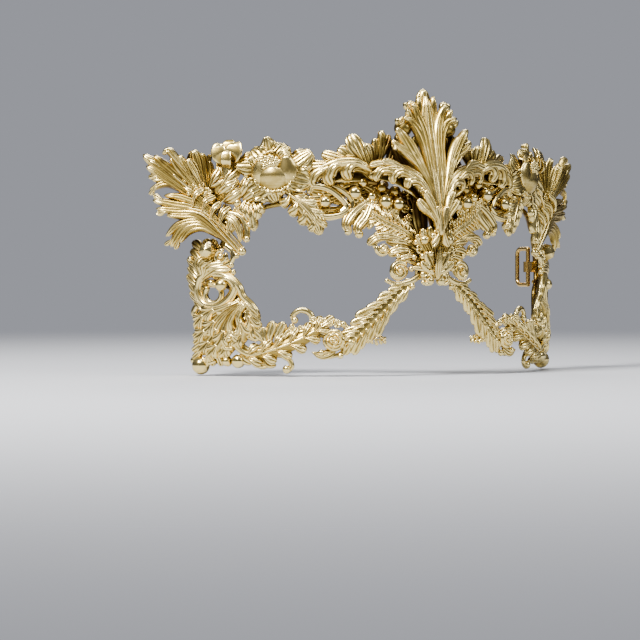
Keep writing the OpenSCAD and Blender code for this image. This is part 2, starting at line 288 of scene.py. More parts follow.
@dataclass
class Rod:
    """A round or flattened bar along a spine, tapered, with optional grooves and rounded ends."""

    points: Sequence[Array]
    start: float
    end: float
    flat: float = 1.0
    grooves: int = 0
    facing: Optional[float] = None
    along: int = 48
    around: int = 16

    def build(self, bm: bmesh.types.BMesh) -> None:
        """Adds the bar to a mesh.

        Args:
            bm: The mesh.
        """
        spine = Spine(self.points, self.facing)

        def shape(u: Array, s: Array) -> Array:
            """Bends the flat grid into the form.

            Args:
                u: Places along the form.
                s: Places round the form.

            Returns:
                Points in millimetres.
            """
            at, _, out, side = spine.sample(u)
            tip = np.clip(np.minimum(u, 1 - u) * 18, 0, 1)
            r = (self.start + (self.end - self.start) * u) * np.sqrt(1 - (1 - tip) ** 2)
            a = 2 * np.pi * s
            if self.grooves:
                r = r * (1 - 0.22 * (1 - np.abs(np.cos(self.grooves * a / 2)) ** 0.6))
            return at + side * (r * np.cos(a))[:, None] + out * (self.flat * r * np.sin(a))[:, None]

        formed_grid(bm, self.along, self.around, shape)


@dataclass
class Ball:
    """A smooth bead."""

    centre: Array
    radius: float
    fine: int = 20

    def build(self, bm: bmesh.types.BMesh) -> None:
        """Adds the bead to a mesh.

        Args:
            bm: The mesh.
        """
        made = bmesh.ops.create_uvsphere(bm, u_segments=self.fine, v_segments=self.fine // 2,
            radius=self.radius * MM)
        bmesh.ops.translate(bm, vec=Vector((self.centre * MM).tolist()), verts=made["verts"])


@dataclass
class Facet:
    """A bead cut with flat faces."""

    centre: Array
    radius: float
    facing: float

    def build(self, bm: bmesh.types.BMesh) -> None:
        """Adds the cut bead to a mesh.

        Args:
            bm: The mesh.
        """
        made = bmesh.ops.create_uvsphere(bm, u_segments=7, v_segments=4, radius=self.radius * MM)
        verts = made["verts"]
        turn = Vector((0, 0, 1)).rotation_difference(Vector((math.sin(math.radians(self.facing)),
                    -math.cos(math.radians(self.facing)), 0.15)))
        bmesh.ops.rotate(bm, verts=verts, cent=(0, 0, 0), matrix=turn.to_matrix())
        bmesh.ops.translate(bm, vec=Vector((self.centre * MM).tolist()), verts=verts)
        edges = list({e for v in verts for e in v.link_edges})
        bmesh.ops.bevel(bm, geom=edges, offset=0.10 * MM, offset_type="OFFSET", segments=2, profile=0.5,
            affect="EDGES", material=-1)


def local(centre: Array, facing: float, tip: float = 0.0) -> Callable[[float, float, float], Array]:
    """Gives a function that places points round a centre, on a plane that faces out of the mask.

    Args:
        centre: The centre, in millimetres.
        facing: Angle round the head that the plane faces, in degrees.
        tip: How far the plane leans back, in degrees.

    Returns:
        A function of (right, up, out) that gives the point.
    """
    a, b = math.radians(facing), math.radians(tip)
    right = np.array([math.cos(a), math.sin(a), 0])
    out = np.array([math.sin(a) * math.cos(b), -math.cos(a) * math.cos(b), math.sin(b)])
    up = np.cross(out, right) * -1 if np.cross(out, right)[2] < 0 else np.cross(out, right)

    def place(u: float, v: float, w: float = 0.0) -> Array:
        """Gives the point that lies u right, v up and w out of the centre."""
        return centre + right * u + up * v + out * w

    return place


def spiral(place: Callable[[float, float, float], Array], r0: float, r1: float, turns: float, start: float,
    rise: float = 0.0, steps: int = 18, ccw: bool = True) -> list[Array]:
    """Gives points on a spiral from the outside in.

    Args:
        place: Places points round the spiral's centre.
        r0: Outer radius.
        r1: Inner radius.
        turns: Number of turns.
        start: Angle of the outer end, in degrees.
        rise: How far the inner end stands out.
        steps: Number of points.
        ccw: Whether it winds anticlockwise as seen from the front.

    Returns:
        The points.
    """
    found = []
    for i in range(steps):
        k = i / (steps - 1)
        a = math.radians(start + (1 if ccw else -1) * 360 * turns * k)
        r = r0 + (r1 - r0) * k**0.8
        found.append(place(r * math.cos(a), r * math.sin(a), rise * k))
    return found


@dataclass
class Frond:
    """A rib with small barbs on both sides."""

    points: Sequence[Array]
    width: float
    barbs: int = 14
    rib: float = 0.7
    slant: float = 0.8
    droop: float = 0.6
    outline: Outline = Outline.SPEAR
    barb_width: float = 2.0
    facing: Optional[float] = None
    both: tuple[int, ...] = (-1, 1)
    uneven: float = 0.3

    def build(self, bm: bmesh.types.BMesh) -> None:
        """Adds the rib and its barbs to a mesh.

        Args:
            bm: The mesh.
        """
        spine = Spine(self.points, self.facing)
        long = float(np.linalg.norm(np.diff(np.array(self.points), axis=0), axis=1).sum())
        where, blunt = self.outline.value
        for i in range(self.barbs):
            t = (i + 0.4) / self.barbs
            w = self.width / 2 * max(0.25, math.sin(math.pi * min(1,
                        t) ** where) ** blunt) * (1 + self.uneven * math.sin(i * 1.9) * math.sin(
                        i * 0.7 + 1))
            at, tangent, out, side = (a[0] for a in spine.sample(np.array([t])))
            for s in self.both:
                tip = at + side * s * w + tangent * self.slant * w - out * self.droop
                mid = at + side * s * w * 0.5 + tangent * self.slant * w * 0.28 + out * 0.7
                Blade([at - tangent * 0.4, mid, tip], self.barb_width, Outline.CLUB, 2, 0.35, 1.4, root=0.5,
                    curl=0.4, along=14, front=10, rear=4, facing=self.facing).build(bm)
        if self.rib:
            Rod([p for p in self.points], self.rib * 1.25, self.rib * 0.5, 1.1, facing=self.facing,
                along=max(12, int(long)), around=10).build(bm)


def strand(points: Sequence[Array], width: float, facing: Optional[float] = None, roll: float = 0.7,
    flutes: int = 2, cup: float = -0.5) -> Blade:
    """Gives one round-tipped strand of an acanthus leaf.

    Args:
        points: Its line from foot to tip.
        width: Its greatest width.
        facing: Fixed angle round the head, or None to follow the face.
        roll: How far the tip rolls forward.
        flutes: Number of flutes.
        cup: How far the edges stand forward.

    Returns:
        The strand.
    """
    return Blade(points, width, Outline.CLUB, flutes, 0.55, 2.0, cup=cup, curl=roll, root=0.5,
        facing=facing, along=38, front=9 * flutes + 6, rear=6)


def fan(foot: Array, heart: Array, tips: Sequence[Array], width: float, facing: Optional[float] = None,
    roll: float = 0.7, flutes: int = 2, spread: float = 0.5, bow: float = 0.12,
    lift: float = 0.35) -> list[Blade]:
    """Gives the strands of a leaf that run up side by side and part into round-tipped lobes.

    Args:
        foot: Where the strands start.
        heart: Where they part.
        tips: The ends of the lobes, from one side of the leaf to the other.
        width: Greatest width of a strand.
        facing: Fixed angle round the head, or None to follow the face.
        roll: How far the tips roll forward.
        flutes: Flutes on each strand.
        spread: How far apart the strands are at the heart, as a share of their width.
        bow: How far they carry straight on before turning out.
        lift: How far the middle strand stands over the next one.

    Returns:
        The strands.
    """
    foot, heart = np.array(foot, float), np.array(heart, float)
    axis = (heart - foot) / max(1e-6, np.linalg.norm(heart - foot))
    out = FACE.outward(heart[None], facing)[0]
    side = np.cross(axis, out)
    side /= np.linalg.norm(side)
    made = []
    for k, tip in enumerate(tips):
        away = np.array(tip, float) - heart
        lean = k - (len(tips) - 1) / 2
        aside = side * math.copysign(abs(lean) * width * spread,
            float(away @ side) if abs(away @ side) > 0.4 else lean)
        down = out * lift * abs(lean)
        reach = float(np.linalg.norm(away))
        bend = heart + aside - down + (away - aside) * 0.52 + axis * reach * bow + out * 0.08 * reach
        made.append(strand([foot + aside * 0.3 - down, heart + aside - down, bend, tip],
                width * (1.05 - 0.05 * abs(lean)), facing, roll, flutes))
    return made


@dataclass
class Blossom:
    """A tiny five-petalled flower with a bead in it."""

    centre: Array
    radius: float
    facing: float
    turn: float = 0.0

    def build(self, bm: bmesh.types.BMesh) -> None:
        """Adds the flower to a mesh.

        Args:
            bm: The mesh.
        """
        place = local(self.centre, self.facing)
        for k in range(5):
            a = math.radians(72 * k + self.turn)
            c, s = math.cos(a), math.sin(a)
            r = self.radius
            Blade([place(0, 0, 0.2), place(c * r * 0.55, s * r * 0.55, 0.5), place(c * r, s * r, 0.9)],
                r * 1.15, Outline.PETAL, 2, 0.25, 0.8, cup=0.4, along=8, front=8, rear=3,
                facing=self.facing).build(bm)
        Ball(place(0, 0, 0.9), self.radius * 0.32, 10).build(bm)


@dataclass(frozen=True)
class Gilt:
    """Gold paint on cast resin with a fine cast grain, with painted highlight bright on the ridges and painted
    shade brown in the hollows.
    """

    name: str
    # Painted shade: the dark brown colour given to the hollows stands in for shade.
    hollow_shade_colour: tuple[float, float, float] = (0.060, 0.030, 0.007)
    middle: tuple[float, float, float] = (0.42, 0.295, 0.068)
    # Painted highlight: the pale colour given to the ridges stands in for highlights.
    ridge_highlight_colour: tuple[float, float, float] = (0.95, 0.755, 0.290)
    smooth: float = 0.20
    rough: float = 0.40
    grain: float = 0.35
    grain_size: float = 1100.0
    patch_size: float = 260.0
    patch_depth: float = 0.34
    levels: tuple[float, float, float] = (0.18, 0.47, 0.76)

    def make(self) -> bpy.types.Material:
        """Makes the material.

        Returns:
            The material, which reads the casting's mask for painted shade and highlight, and Object coordinates.
        """
        mat = bpy.data.materials.new(self.name)
        mat.use_nodes = True
        nodes, links = mat.node_tree.nodes, mat.node_tree.links
        shader = nodes["Principled BSDF"]
        shader.inputs["Metallic"].default_value = 1.0
        place = nodes.new("ShaderNodeTexCoord")
        # Reads the mask for painted shade in hollows and painted highlight on ridges.
        painted_light_mask = nodes.new("ShaderNodeAttribute")
        painted_light_mask.attribute_name = "painted_light_mask"
        patch = nodes.new("ShaderNodeTexNoise")
        patch.inputs["Scale"].default_value = self.patch_size
        patch.inputs["Detail"].default_value = 5.0
        links.new(place.outputs["Object"], patch.inputs["Vector"])
        shift = nodes.new("ShaderNodeMath")
        shift.operation = "MULTIPLY_ADD"
        shift.inputs[1].default_value = self.patch_depth
        shift.inputs[2].default_value = -self.patch_depth / 2
        links.new(patch.outputs["Fac"], shift.inputs[0])
        level = nodes.new("ShaderNodeMath")
        level.operation = "ADD"
        level.use_clamp = True
        links.new(painted_light_mask.outputs["Fac"], level.inputs[0])
        links.new(shift.outputs[0], level.inputs[1])
        # The colour ramp paints shade into the hollows and highlights onto the ridges; random patchy tone is added
        # to its input.
        ramp = nodes.new("ShaderNodeValToRGB")
        ramp.color_ramp.interpolation = "EASE"
        stops = ramp.color_ramp.elements
        stops[0].position, stops[0].color = self.levels[0], (*self.hollow_shade_colour, 1)
        stops[1].position, stops[1].color = self.levels[2], (*self.ridge_highlight_colour, 1)
        mid = stops.new(self.levels[1])
        mid.color = (*self.middle, 1)
        links.new(level.outputs[0], ramp.inputs["Fac"])
        links.new(ramp.outputs["Color"], shader.inputs["Base Color"])
        gloss = nodes.new("ShaderNodeMapRange")
        gloss.inputs["To Min"].default_value = self.rough
        gloss.inputs["To Max"].default_value = self.smooth
        links.new(level.outputs[0], gloss.inputs["Value"])
        links.new(gloss.outputs["Result"], shader.inputs["Roughness"])
        grain = nodes.new("ShaderNodeTexNoise")
        grain.inputs["Scale"].default_value = self.grain_size
        grain.inputs["Detail"].default_value = 3.0
        links.new(place.outputs["Object"], grain.inputs["Vector"])
        bump = nodes.new("ShaderNodeBump")
        bump.inputs["Strength"].default_value = self.grain
        bump.inputs["Distance"].default_value = 0.00012
        links.new(grain.outputs["Fac"], bump.inputs["Height"])
        links.new(bump.outputs["Normal"], shader.inputs["Normal"])
        return mat


@dataclass(frozen=True)
class Backdrop:
    """Pale matt floor that fades out towards its rim."""

    name: str = "pale_floor"
    colour: tuple[float, float, float] = (0.42, 0.43, 0.46)

    def make(self) -> bpy.types.Material:
        """Makes the material.

        Returns:
            The material.
        """
        mat = bpy.data.materials.new(self.name)
        mat.use_nodes = True
        nodes, links = mat.node_tree.nodes, mat.node_tree.links
        shader = nodes["Principled BSDF"]
        shader.inputs["Base Color"].default_value = (*self.colour, 1)
        shader.inputs["Roughness"].default_value = 0.85
        shader.inputs["Specular IOR Level"].default_value = 0.2
        place = nodes.new("ShaderNodeTexCoord")
        far = nodes.new("ShaderNodeVectorMath")
        far.operation = "LENGTH"
        links.new(place.outputs["Object"], far.inputs[0])
        fade = nodes.new("ShaderNodeMapRange")
        fade.interpolation_type = "SMOOTHSTEP"
        fade.inputs["From Min"].default_value = 0.25
        fade.inputs["From Max"].default_value = 1.1
        links.new(far.outputs["Value"], fade.inputs["Value"])
        clear = nodes.new("ShaderNodeBsdfTransparent")
        mix = nodes.new("ShaderNodeMixShader")
        links.new(fade.outputs["Result"], mix.inputs["Fac"])
        links.new(shader.outputs["BSDF"], mix.inputs[1])
        links.new(clear.outputs["BSDF"], mix.inputs[2])
        links.new(mix.outputs["Shader"], nodes["Material Output"].inputs["Surface"])
        return mat


def store_shade_highlight_mask(mesh: bpy.types.Mesh, rounds: int = 2) -> None:
    """Stores how far each point stands proud of its neighbours, 0 in a hollow and 1 on a ridge, as the mask for
    painted shade in hollows and painted highlight on ridges.

    Args:
        mesh: The mesh that gets the painted shade and highlight attribute.
        rounds: How many times the result is evened out.
    """
    n = len(mesh.vertices)
    co = np.empty(n * 3)
    mesh.vertices.foreach_get("co", co)
    co = co.reshape(-1, 3)
    no = np.empty(n * 3)
    mesh.vertices.foreach_get("normal", no)
    no = no.reshape(-1, 3)
    ends = np.empty(len(mesh.edges) * 2, int)
    mesh.edges.foreach_get("vertices", ends)
    a, b = ends.reshape(-1, 2).T
    count = np.maximum(1, np.bincount(a, minlength=n) + np.bincount(b, minlength=n))

    def around(values: Array) -> Array:
        """Averages values over each point's neighbours.

        Args:
            values: One value a point.

        Returns:
            The averages.
        """
        total = np.bincount(a, values[b], n) + np.bincount(b, values[a], n)
        return total / count

    gap = np.stack([around(co[:, k]) for k in range(3)], 1) - co
    length = np.linalg.norm(co[a] - co[b], axis=1)
    mean = (np.bincount(a, length, n) + np.bincount(b, length, n)) / count
    bend = (gap * no).sum(1) / np.maximum(mean, 1e-6) ** 2
    level = 0.5 - 0.5 * np.tanh(bend / 260.0)
    for _ in range(rounds):
        level = 0.5 * level + 0.5 * around(level)
    # The stored value paints shade into hollows and highlights onto ridges.
    store = mesh.attributes.new("painted_light_mask", "FLOAT", "POINT")
    store.data.foreach_set("value", level.astype(np.float32))


class GapShade:
    """Painted shade between castings: how deep each point sits under the castings round it, which darkens its
    colour.
    """

    cell: float = 1.3
    wide: int = 170
    high: int = 120

    def __init__(self) -> None:
        """Starts with no pieces to shade."""
        self.pieces: list[bpy.types.Object] = []

    def places(self, mesh: bpy.types.Mesh) -> tuple[Array, Array, Array]:
        """Gives the cell of each point of a mesh, and its distance in front of the face curve.

        Args:
            mesh: The mesh.

        Returns:
            Columns, rows and distances in millimetres.
        """
        co = np.empty(len(mesh.vertices) * 3)
        mesh.vertices.foreach_get("co", co)
        co = co.reshape(-1, 3) / MM
        dx, dy = co[:, 0], FACE.radius - co[:, 1] + np.maximum(co[:, 2],
            0) * math.tan(math.radians(FACE.lean))
        column = (np.arctan2(dx, dy) * FACE.radius / self.cell + self.wide / 2).astype(int)
        row = ((co[:, 2] + 50) / self.cell).astype(int)
        return np.clip(column, 0, self.wide - 1), np.clip(row, 0, self.high - 1), np.hypot(dx,
            dy) - FACE.radius

    def paint_gap_shade(self) -> None:
        """Paints shade: darkens the painted light attribute of the deep points of every piece."""
        top = np.full((self.wide, self.high), -9.0)
        found = [self.places(piece.data) for piece in self.pieces]
        for column, row, out in found:
            np.maximum.at(top, (column, row), out)
        spread = np.max([np.roll(top, (i, j), (0, 1)) for i in (-1, 0, 1) for j in (-1, 0, 1)], axis=0)
        for _ in range(2):
            spread = np.mean([np.roll(spread, (i, j), (0, 1)) for i in (-1, 0, 1) for j in (-1, 0, 1)],
                axis=0)
        for piece, (column, row, out) in zip(self.pieces, found):
            # Points sunk under the castings round them get painted shade, stronger the deeper they sit.
            deep = np.clip(spread[column, row] - out - 0.8, 0, None)
            store = piece.data.attributes["painted_light_mask"].data
            level = np.empty(len(out), np.float32)
            store.foreach_get("value", level)
            store.foreach_set("value", (level * (0.28 + 0.72 * np.exp(-deep / 3.0))).astype(np.float32))


GAP_SHADE = GapShade()


@dataclass
class Casting:
    """One cast piece of the mask, made for the right side or the middle."""

    node: str
    slot: str
    parts: list = field(default_factory=list)
    paired: bool = True

    def add(self, *parts: object) -> "Casting":
        """Adds forms to the casting.

        Args:
            parts: The forms.

        Returns:
            The casting.
        """
        self.parts.extend(parts)
        return self

    def extend(self, parts: Sequence[object]) -> "Casting":
        """Adds a list of forms to the casting."""
        return self.add(*parts)

    def finish(self, finish: bpy.types.Material) -> None:
        """Makes the casting's objects, on both sides where it is paired.

        Args:
            finish: The material.
        """
        bm = bmesh.new()
        for part in self.parts:
            before = len(bm.faces)
            part.build(bm)
            bm.faces.ensure_lookup_table()
            for face in bm.faces[before:]:
                face.smooth = not isinstance(part, Facet)
        for side in Side if self.paired else (Side.RIGHT,):
            half = bm.copy()
            if side is Side.LEFT:
                bmesh.ops.scale(half, vec=(-1, 1, 1), verts=half.verts)
                bmesh.ops.reverse_faces(half, faces=half.faces)
            node = f"{self.node}_{side.name.lower()}" if self.paired else self.node
            mesh = bpy.data.meshes.new(f"cast_{node}")
            half.to_mesh(mesh)
            half.free()
            # Stores the mask for painted shade in hollows and painted highlight on ridges.
            store_shade_highlight_mask(mesh)
            mesh.materials.append(finish)
            piece = bpy.data.objects.new(f"cast_{node}", mesh)
            bpy.context.scene.collection.objects.link(piece)
            # Joins the pieces that get painted shade in the gaps between castings.
            GAP_SHADE.pieces.append(piece)
            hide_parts(node)
            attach(piece, "mask")
            low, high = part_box(node)
            co = np.empty(len(mesh.vertices) * 3)
            mesh.vertices.foreach_get("co", co)
            co = co.reshape(-1, 3)
            off = max(np.max(np.array(low) - co.min(0)), np.max(co.max(0) - np.array(high))) / MM
            LOG.info("%s: %d faces, %.1f mm past its CAD box", node, len(mesh.polygons), off)
        bm.free()


@dataclass
class FrameWires:
    """The bent wires that the castings are fixed on, and the pad behind the nose bridge."""

    wire: float = 1.2
    out: float = 1.3
    brow: tuple = ((-4.2, 10), (-8, 17), (-15, 26), (-25, 31), (-35, 30), (-44, 26), (-50, 17))
    side: tuple = ((-50, 17), (-53.2, 8), (-53.2, -4), (-48.5, -10), (-48.5, -20), (-52, -31), (-57, -40))
    cheek: tuple = ((-57, -40), (-48, -39.5), (-40, -35), (-31, -28), (-23, -30))

    def castings(self) -> list[Casting]:
        """Gives the wires.

        Returns:
            The castings.
        """
        made = []
        for name, run in (("brow_wire", self.brow), ("side_wire", self.side), ("cheek_wire", self.cheek)):
            points = [seat(phi, z, self.out) for phi, z in run]
            made.append(Casting(name, "gilt_wire").add(Rod(points, self.wire, self.wire, along=70,
                        around=14)))
        return made

    def pad(self, finish: bpy.types.Material) -> None:
        """Makes the bridge pad: a flat plate with rounded edges.

        Args:
            finish: The material.
        """
        low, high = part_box("bridge_plate")
        bm = bmesh.new()
        bmesh.ops.create_cube(bm, size=1.0)
        bmesh.ops.scale(bm, vec=high - low, verts=bm.verts)
        bmesh.ops.translate(bm, vec=(low + high) / 2, verts=bm.verts)
        bmesh.ops.bevel(bm, geom=bm.edges[:], offset=1.0 * MM, offset_type="OFFSET", segments=4,
            profile=0.5, affect="EDGES", material=-1)
        mesh = bpy.data.meshes.new("cast_bridge_plate")
        bm.to_mesh(mesh)
        bm.free()
        for face in mesh.polygons:
            face.use_smooth = True
        # Stores the mask for painted shade in hollows and painted highlight on ridges.
        store_shade_highlight_mask(mesh)
        mesh.materials.append(finish)
        piece = bpy.data.objects.new("cast_bridge_plate", mesh)
        bpy.context.scene.collection.objects.link(piece)
        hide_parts("bridge_plate")
        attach(piece, "mask")


@dataclass
class PlumeGroup:
    """The upright acanthus plume over the nose bridge, with its long side blades."""

    height: float = 81.0

    def plume(self) -> Casting:
        """Makes the upright plume: strands that rise from one foot and part into rolled lobes.

        Returns:
            The casting.
        """
        c = Casting("centre_plume", "gilt_castings", paired=False)
        z = self.height
        c.add(Blade([spot(0, -11, 18), spot(-0.2, -9, 32), spot(-0.4, -6, 48), spot(-0.6, -2, 64),
                    spot(-0.8, 0.6, z - 3)], 9.5, Outline.PADDLE, 4, 0.6, 2.6, cup=-1.4, root=0.5, facing=0,
                    along=90, front=34))
        c.add(Blade([spot(-0.6, -1.2, 64), spot(-0.8, 1.6, 73), spot(-0.8, 2.2, z)], 7.6, Outline.PADDLE, 3,
                0.55, 2.2, cup=-0.8, curl=-0.6, root=0.6, facing=0, along=46, front=28))
        c.add(strand([spot(-1.4, -8, 40), spot(-2.2, -3.4, 60), spot(-4.0, 0.4, 70), spot(-4.4, 1.4, 77.4)],
                4.6, 0, 0.9))
        c.add(strand([spot(0.8, -8, 40), spot(1.2, -3.4, 60), spot(3.0, 0.4, 70), spot(3.2, 1.4, 77.8)],
                4.6, 0, 0.9))
        for s in (-1, 1):
            c.add(strand([spot(s * 0.8, -10.6, 20), spot(s * 2.2, -8.0, 42), spot(s * 3.4, -3.6, 60),
                        spot(s * 6.2, -0.6, 69), spot(s * 8.8, -0.6, 74.6)], 5.4, s * 3, 1.6))
            c.add(strand([spot(s * 1.2, -10.4, 20), spot(s * 3.2, -8.0, 42), spot(s * 4.6, -4.0, 57),
                        spot(s * 8.6, -1.2, 65.2), spot(s * 14.0, -1.2, 68.0)], 5.0, s * 5, 1.4))
            c.add(strand([spot(s * 3.4, -6.0, 50), spot(s * 5.8, -3.0, 60), spot(s * 9.2, -0.8, 67.4),
                        spot(s * 11.6, -0.8, 71.8)], 4.2, s * 5, 1.2))
            for u, v, r in ((8.6, 73.2, 2.5), (13.2, 66.2, 2.1)):
                place = local(spot(s * u, 0.4, v), s * 5)
                c.add(Rod(spiral(place, r, 0.6, 1.2, 90 - s * 60, 0.8, ccw=s < 0), 1.2, 0.9, facing=s * 5,
                        along=34, around=12))
                c.add(Ball(place(0, 0, -0.6), r * 0.8, 14))
            wing = ((18.6, -3.2, 62.8, 5.6), (20.4, -2.6, 57.4, 4.6), (14.6, -3.6, 60.2, 4.8))
            for k, (u, y, v, w) in enumerate(wing):
                c.add(strand([spot(s * 0.8, -10.6, 22), spot(s * 3.6, -9.6 + 0.2 * k, 36),
                            spot(s * (9.2 - 0.5 * k), -7.0, 48.6),
                            spot(s * (u * 0.82), -4.4, v * 0.92 + 1.6), spot(s * u, y, v)], w, s * 5, 0.9))
            c.add(strand([spot(s * 6, -8.2, 41), spot(s * 12.0, -6.0, 49.5), spot(s * 16.8, -4.2, 54.2),
                        spot(s * 19.8, -3.0, 53.8)], 4.0, s * 6, 0.8))
            c.add(strand([spot(s * 1.0, -11.6, 18), spot(s * 2.6, -12.2, 25), spot(s * 5.2, -11.0, 31.6),
                        spot(s * 7.6, -9.6, 35.2)], 4.6, s * 3, 0.9))
            c.add(strand([spot(s * 1.0, -11.2, 18), spot(s * 3.8, -11.2, 24), spot(s * 7.6, -9.8, 28.4),
                        spot(s * 10.2, -8.4, 31.4)], 4.8, s * 5, 0.9))
            c.add(Blade([spot(s * 4.4, -3.8, 13), spot(s * 5.6, -3.2, 24), spot(s * 7.2, -2.2, 35)], 7.2,
                    Outline.FINGER, 3, 0.4, 1.6, facing=s * 4, along=40, front=22))
            c.add(strand([spot(s * 0.6, -11.8, 17), spot(s * 1.4, -12.4, 23), spot(s * 2.6, -11.8, 28.6)],
                    3.4, s * 3, 0.7))
            c.add(Rod([spot(s * 1.0, -11.2, 16), spot(s * 1.0, -11.2, 20), spot(s * 1.8, -10.2, 34),
                        spot(s * 2.4, -7.4, 48)], 1.1, 0.5, facing=0, along=50, around=12))
        c.add(Rod([spot(0, -11.4, 15.5), spot(0, -12.0, 19), spot(0, -10.8, 30), spot(-0.3, -8.0, 44)], 1.4,
                0.5, facing=0, along=50, around=14))
        for s in (-1, 1):
            c.add(strand([spot(s * 0.6, -11.4, 19), spot(s * 1.8, -11.6, 14.6), spot(s * 3.8, -10.4, 10.8)],
                    3.6, s * 3, 0.8))
        return c

    def blades(self) -> Casting:
        """Makes the long arching leaf at one side, the bead behind the plume and the leaf behind both.

        Returns:
            The casting.
        """
        c = Casting("plume_blade", "gilt_castings")
        run = [spot(-1.2, -9.6, 25), spot(-5.4, -9.2, 35.4), spot(-12, -7.6, 42.4), spot(-20.4, -4.4, 45.2),
            spot(-29.6, 0.2, 42.8)]
        c.add(Blade(run, 7.0, Outline.SPEAR, 4, 0.6, 2.2, cup=-2.0, root=0.5, facing=-8, along=90,
                front=32))
        for k, (u, y, v, w) in enumerate(((-8.6, -8.4, 33.8, 4.6), (-14.0, -6.8, 35.8, 5.2),
                (-19.6, -4.6, 37.8, 5.2), (-25.4, -1.8, 39.2, 4.8))):
            at, tangent, out, _ = (a[0] for a in Spine(run, -8).sample(np.array([0.2 + 0.2 * k])))
            back = Spine(run, -8).sample(np.array([0.02 + 0.13 * k]))[0][0]
            c.add(strand([back + out * 0.3, at + out * 0.8 - spot(0, 0, 0.8),
                        (at + spot(u, y, v)) / 2 + tangent * 2.6 + out * 0.7, spot(u, y, v)], w, -8, -0.8,
                        flutes=3, cup=-1.1))
        c.add(strand([spot(-13, -7.0, 43.4), spot(-19, -4.6, 47.0), spot(-24.6, -1.8, 48.2)], 4.0, -8, 0.8))
        c.add(strand([spot(-18, -5.0, 45.4), spot(-24, -2.4, 47.2), spot(-29.4, 0.4, 46.2)], 3.8, -8, 0.6))
        c.add(Blade([spot(-4, -5.8, 30), spot(-10, -4.6, 37), spot(-18, -2.2, 41), spot(-26, 1.4, 40.6)],
                8.0, Outline.SPEAR, 0, 0, 1.6, cup=2.0, facing=-8, along=60, front=22))
        c.add(Ball(spot(-11.2, 2.2, 63.2), 4.0, 28))
        c.add(Rod([spot(-11.2, 3.0, 62), spot(-9, 2, 52), spot(-6.5, -2.6, 38)], 1.9, 1.5))
        c.extend(fan(spot(-4, -1.0, 38), spot(-8.6, 1.0, 48),
                [spot(-16.8, 3.2, 56.2), spot(-14.4, 3.2, 60.4), spot(-9.6, 2.6, 60.0),
                    spot(-5.6, 1.6, 60)], 4.6, -8, 0.5))
        return c



@dataclass
class BridgeGroup:
    """The shell fan, beads and coiled rosettes over the nose bridge."""

    coil: float = 4.2

    def shell(self) -> Casting:
        """Makes the shell fan in the middle.

        Returns:
            The casting.
        """
        c = Casting("bridge_shell", "gilt_castings", paired=False)
        for k, a in enumerate((-62, -38, -13, 13, 38, 62)):
            u, v = math.sin(math.radians(a)), math.cos(math.radians(a))
            c.add(Blade([spot(0, -6.0, -3), spot(u * 5, -8.2, -2 + v * 7),
                        spot(u * 9.4, -7.4, -3 + v * 14.5)], 4.6, Outline.PADDLE, 2, 0.45, 1.5, curl=1.2,
                        facing=0, along=30, front=18))
        c.add(Ball(spot(0, -4.8, 1), 4.6, 26))
        c.add(Blade([spot(0, -8.6, -4), spot(0, -10.2, 3), spot(0, -10.4, 11.5)], 3.6, Outline.SPEAR, 3,
                0.4, 1.6, facing=0, along=34, front=20))
        for s in (-1, 1):
            for u, z, r, y in ((3.0, -4.4, 2.2, -6.6), (5.6, -1.6, 1.8, -6.2), (7.4, 2.2, 1.9, -5.4),
                (6.0, 6.4, 1.7, -6.6), (9.2, 6.0, 1.5, -4.4), (3.2, 7.6, 1.4, -8.6), (4.4, 2.2, 1.6, -7.8)):
                c.add(Ball(spot(s * u, y, z), r, 18))
            place = local(spot(s * 4.2, -7.4, -3.2), s * 3)
            c.add(Rod(spiral(place, 3.0, 0.6, 1.3, 200 if s < 0 else -20, 0.8, ccw=s < 0), 0.95, 0.6,
                    facing=0, along=46, around=12))
            c.add(Rod([spot(s * 1, -8.2, -1), spot(s * 5.5, -7.4, 0.4), spot(s * 10.5, -4.6, 1.6)], 1.2,
                    0.9, facing=0, along=30, around=12))
            c.add(Blossom(spot(s * 7.2, -6.0, 9.6), 2.6, 0))
            c.extend(fan(spot(s * 0.8, -6.6, 4), spot(s * 3.2, -7.6, 11),
                    [spot(s * 9.2, -5.2, 15.4), spot(s * 7.2, -6.4, 18.4), spot(s * 4.0, -7.8, 19.6),
                        spot(s * 1.4, -8.6, 18.6)], 4.0, s * 3, 0.8))
            c.add(Ball(spot(s * 6.0, -8.0, 13.6), 2.3, 20), Ball(spot(s * 2.6, -9.8, 15.4), 1.7, 18),
                Ball(spot(s * 9.0, -5.8, 12.6), 1.4, 14))
        return c

    def rosette(self) -> Casting:
        """Makes the coiled rosette at one side of the bridge.

        Returns:
            The casting.
        """
        c = Casting("coil_rosette", "gilt_castings")
        place = local(seat(-8.6, 0, 3.6), -9)
        c.add(Rod(spiral(place, self.coil, 0.7, 2.0, 30, 1.8, 26), 1.15, 0.6, facing=-9, along=90,
                around=14))
        c.add(Blade([place(4.4, 0, -0.6), place(0, 0, 0), place(-4.4, 0, -0.6)], 8.6, Outline.PETAL, 0, 0,
                2.2, facing=-9, along=24, front=20))
        c.add(Rod([seat(-2.8, -1, 4.6), seat(-5.8, -4.6, 4.4), seat(-9.4, -5.8, 3.6),
                    seat(-12.2, -3.8, 3.2)], 1.5, 0.9, along=40))
        c.add(Rod([seat(-4.0, 2.6, 4.4), seat(-6.6, 4.6, 4.2), seat(-9.4, 4.8, 3.6)], 1.2, 0.7, along=30))
        c.add(Ball(place(0, 0, 2.0), 1.1, 14))
        for phi, z, r in ((-5.4, -6.8, 1.2), (-3.6, 4.8, 1.5), (-5.6, 1.0, 1.4)):
            c.add(Ball(seat(phi, z, 4.6), r, 14))
        return c


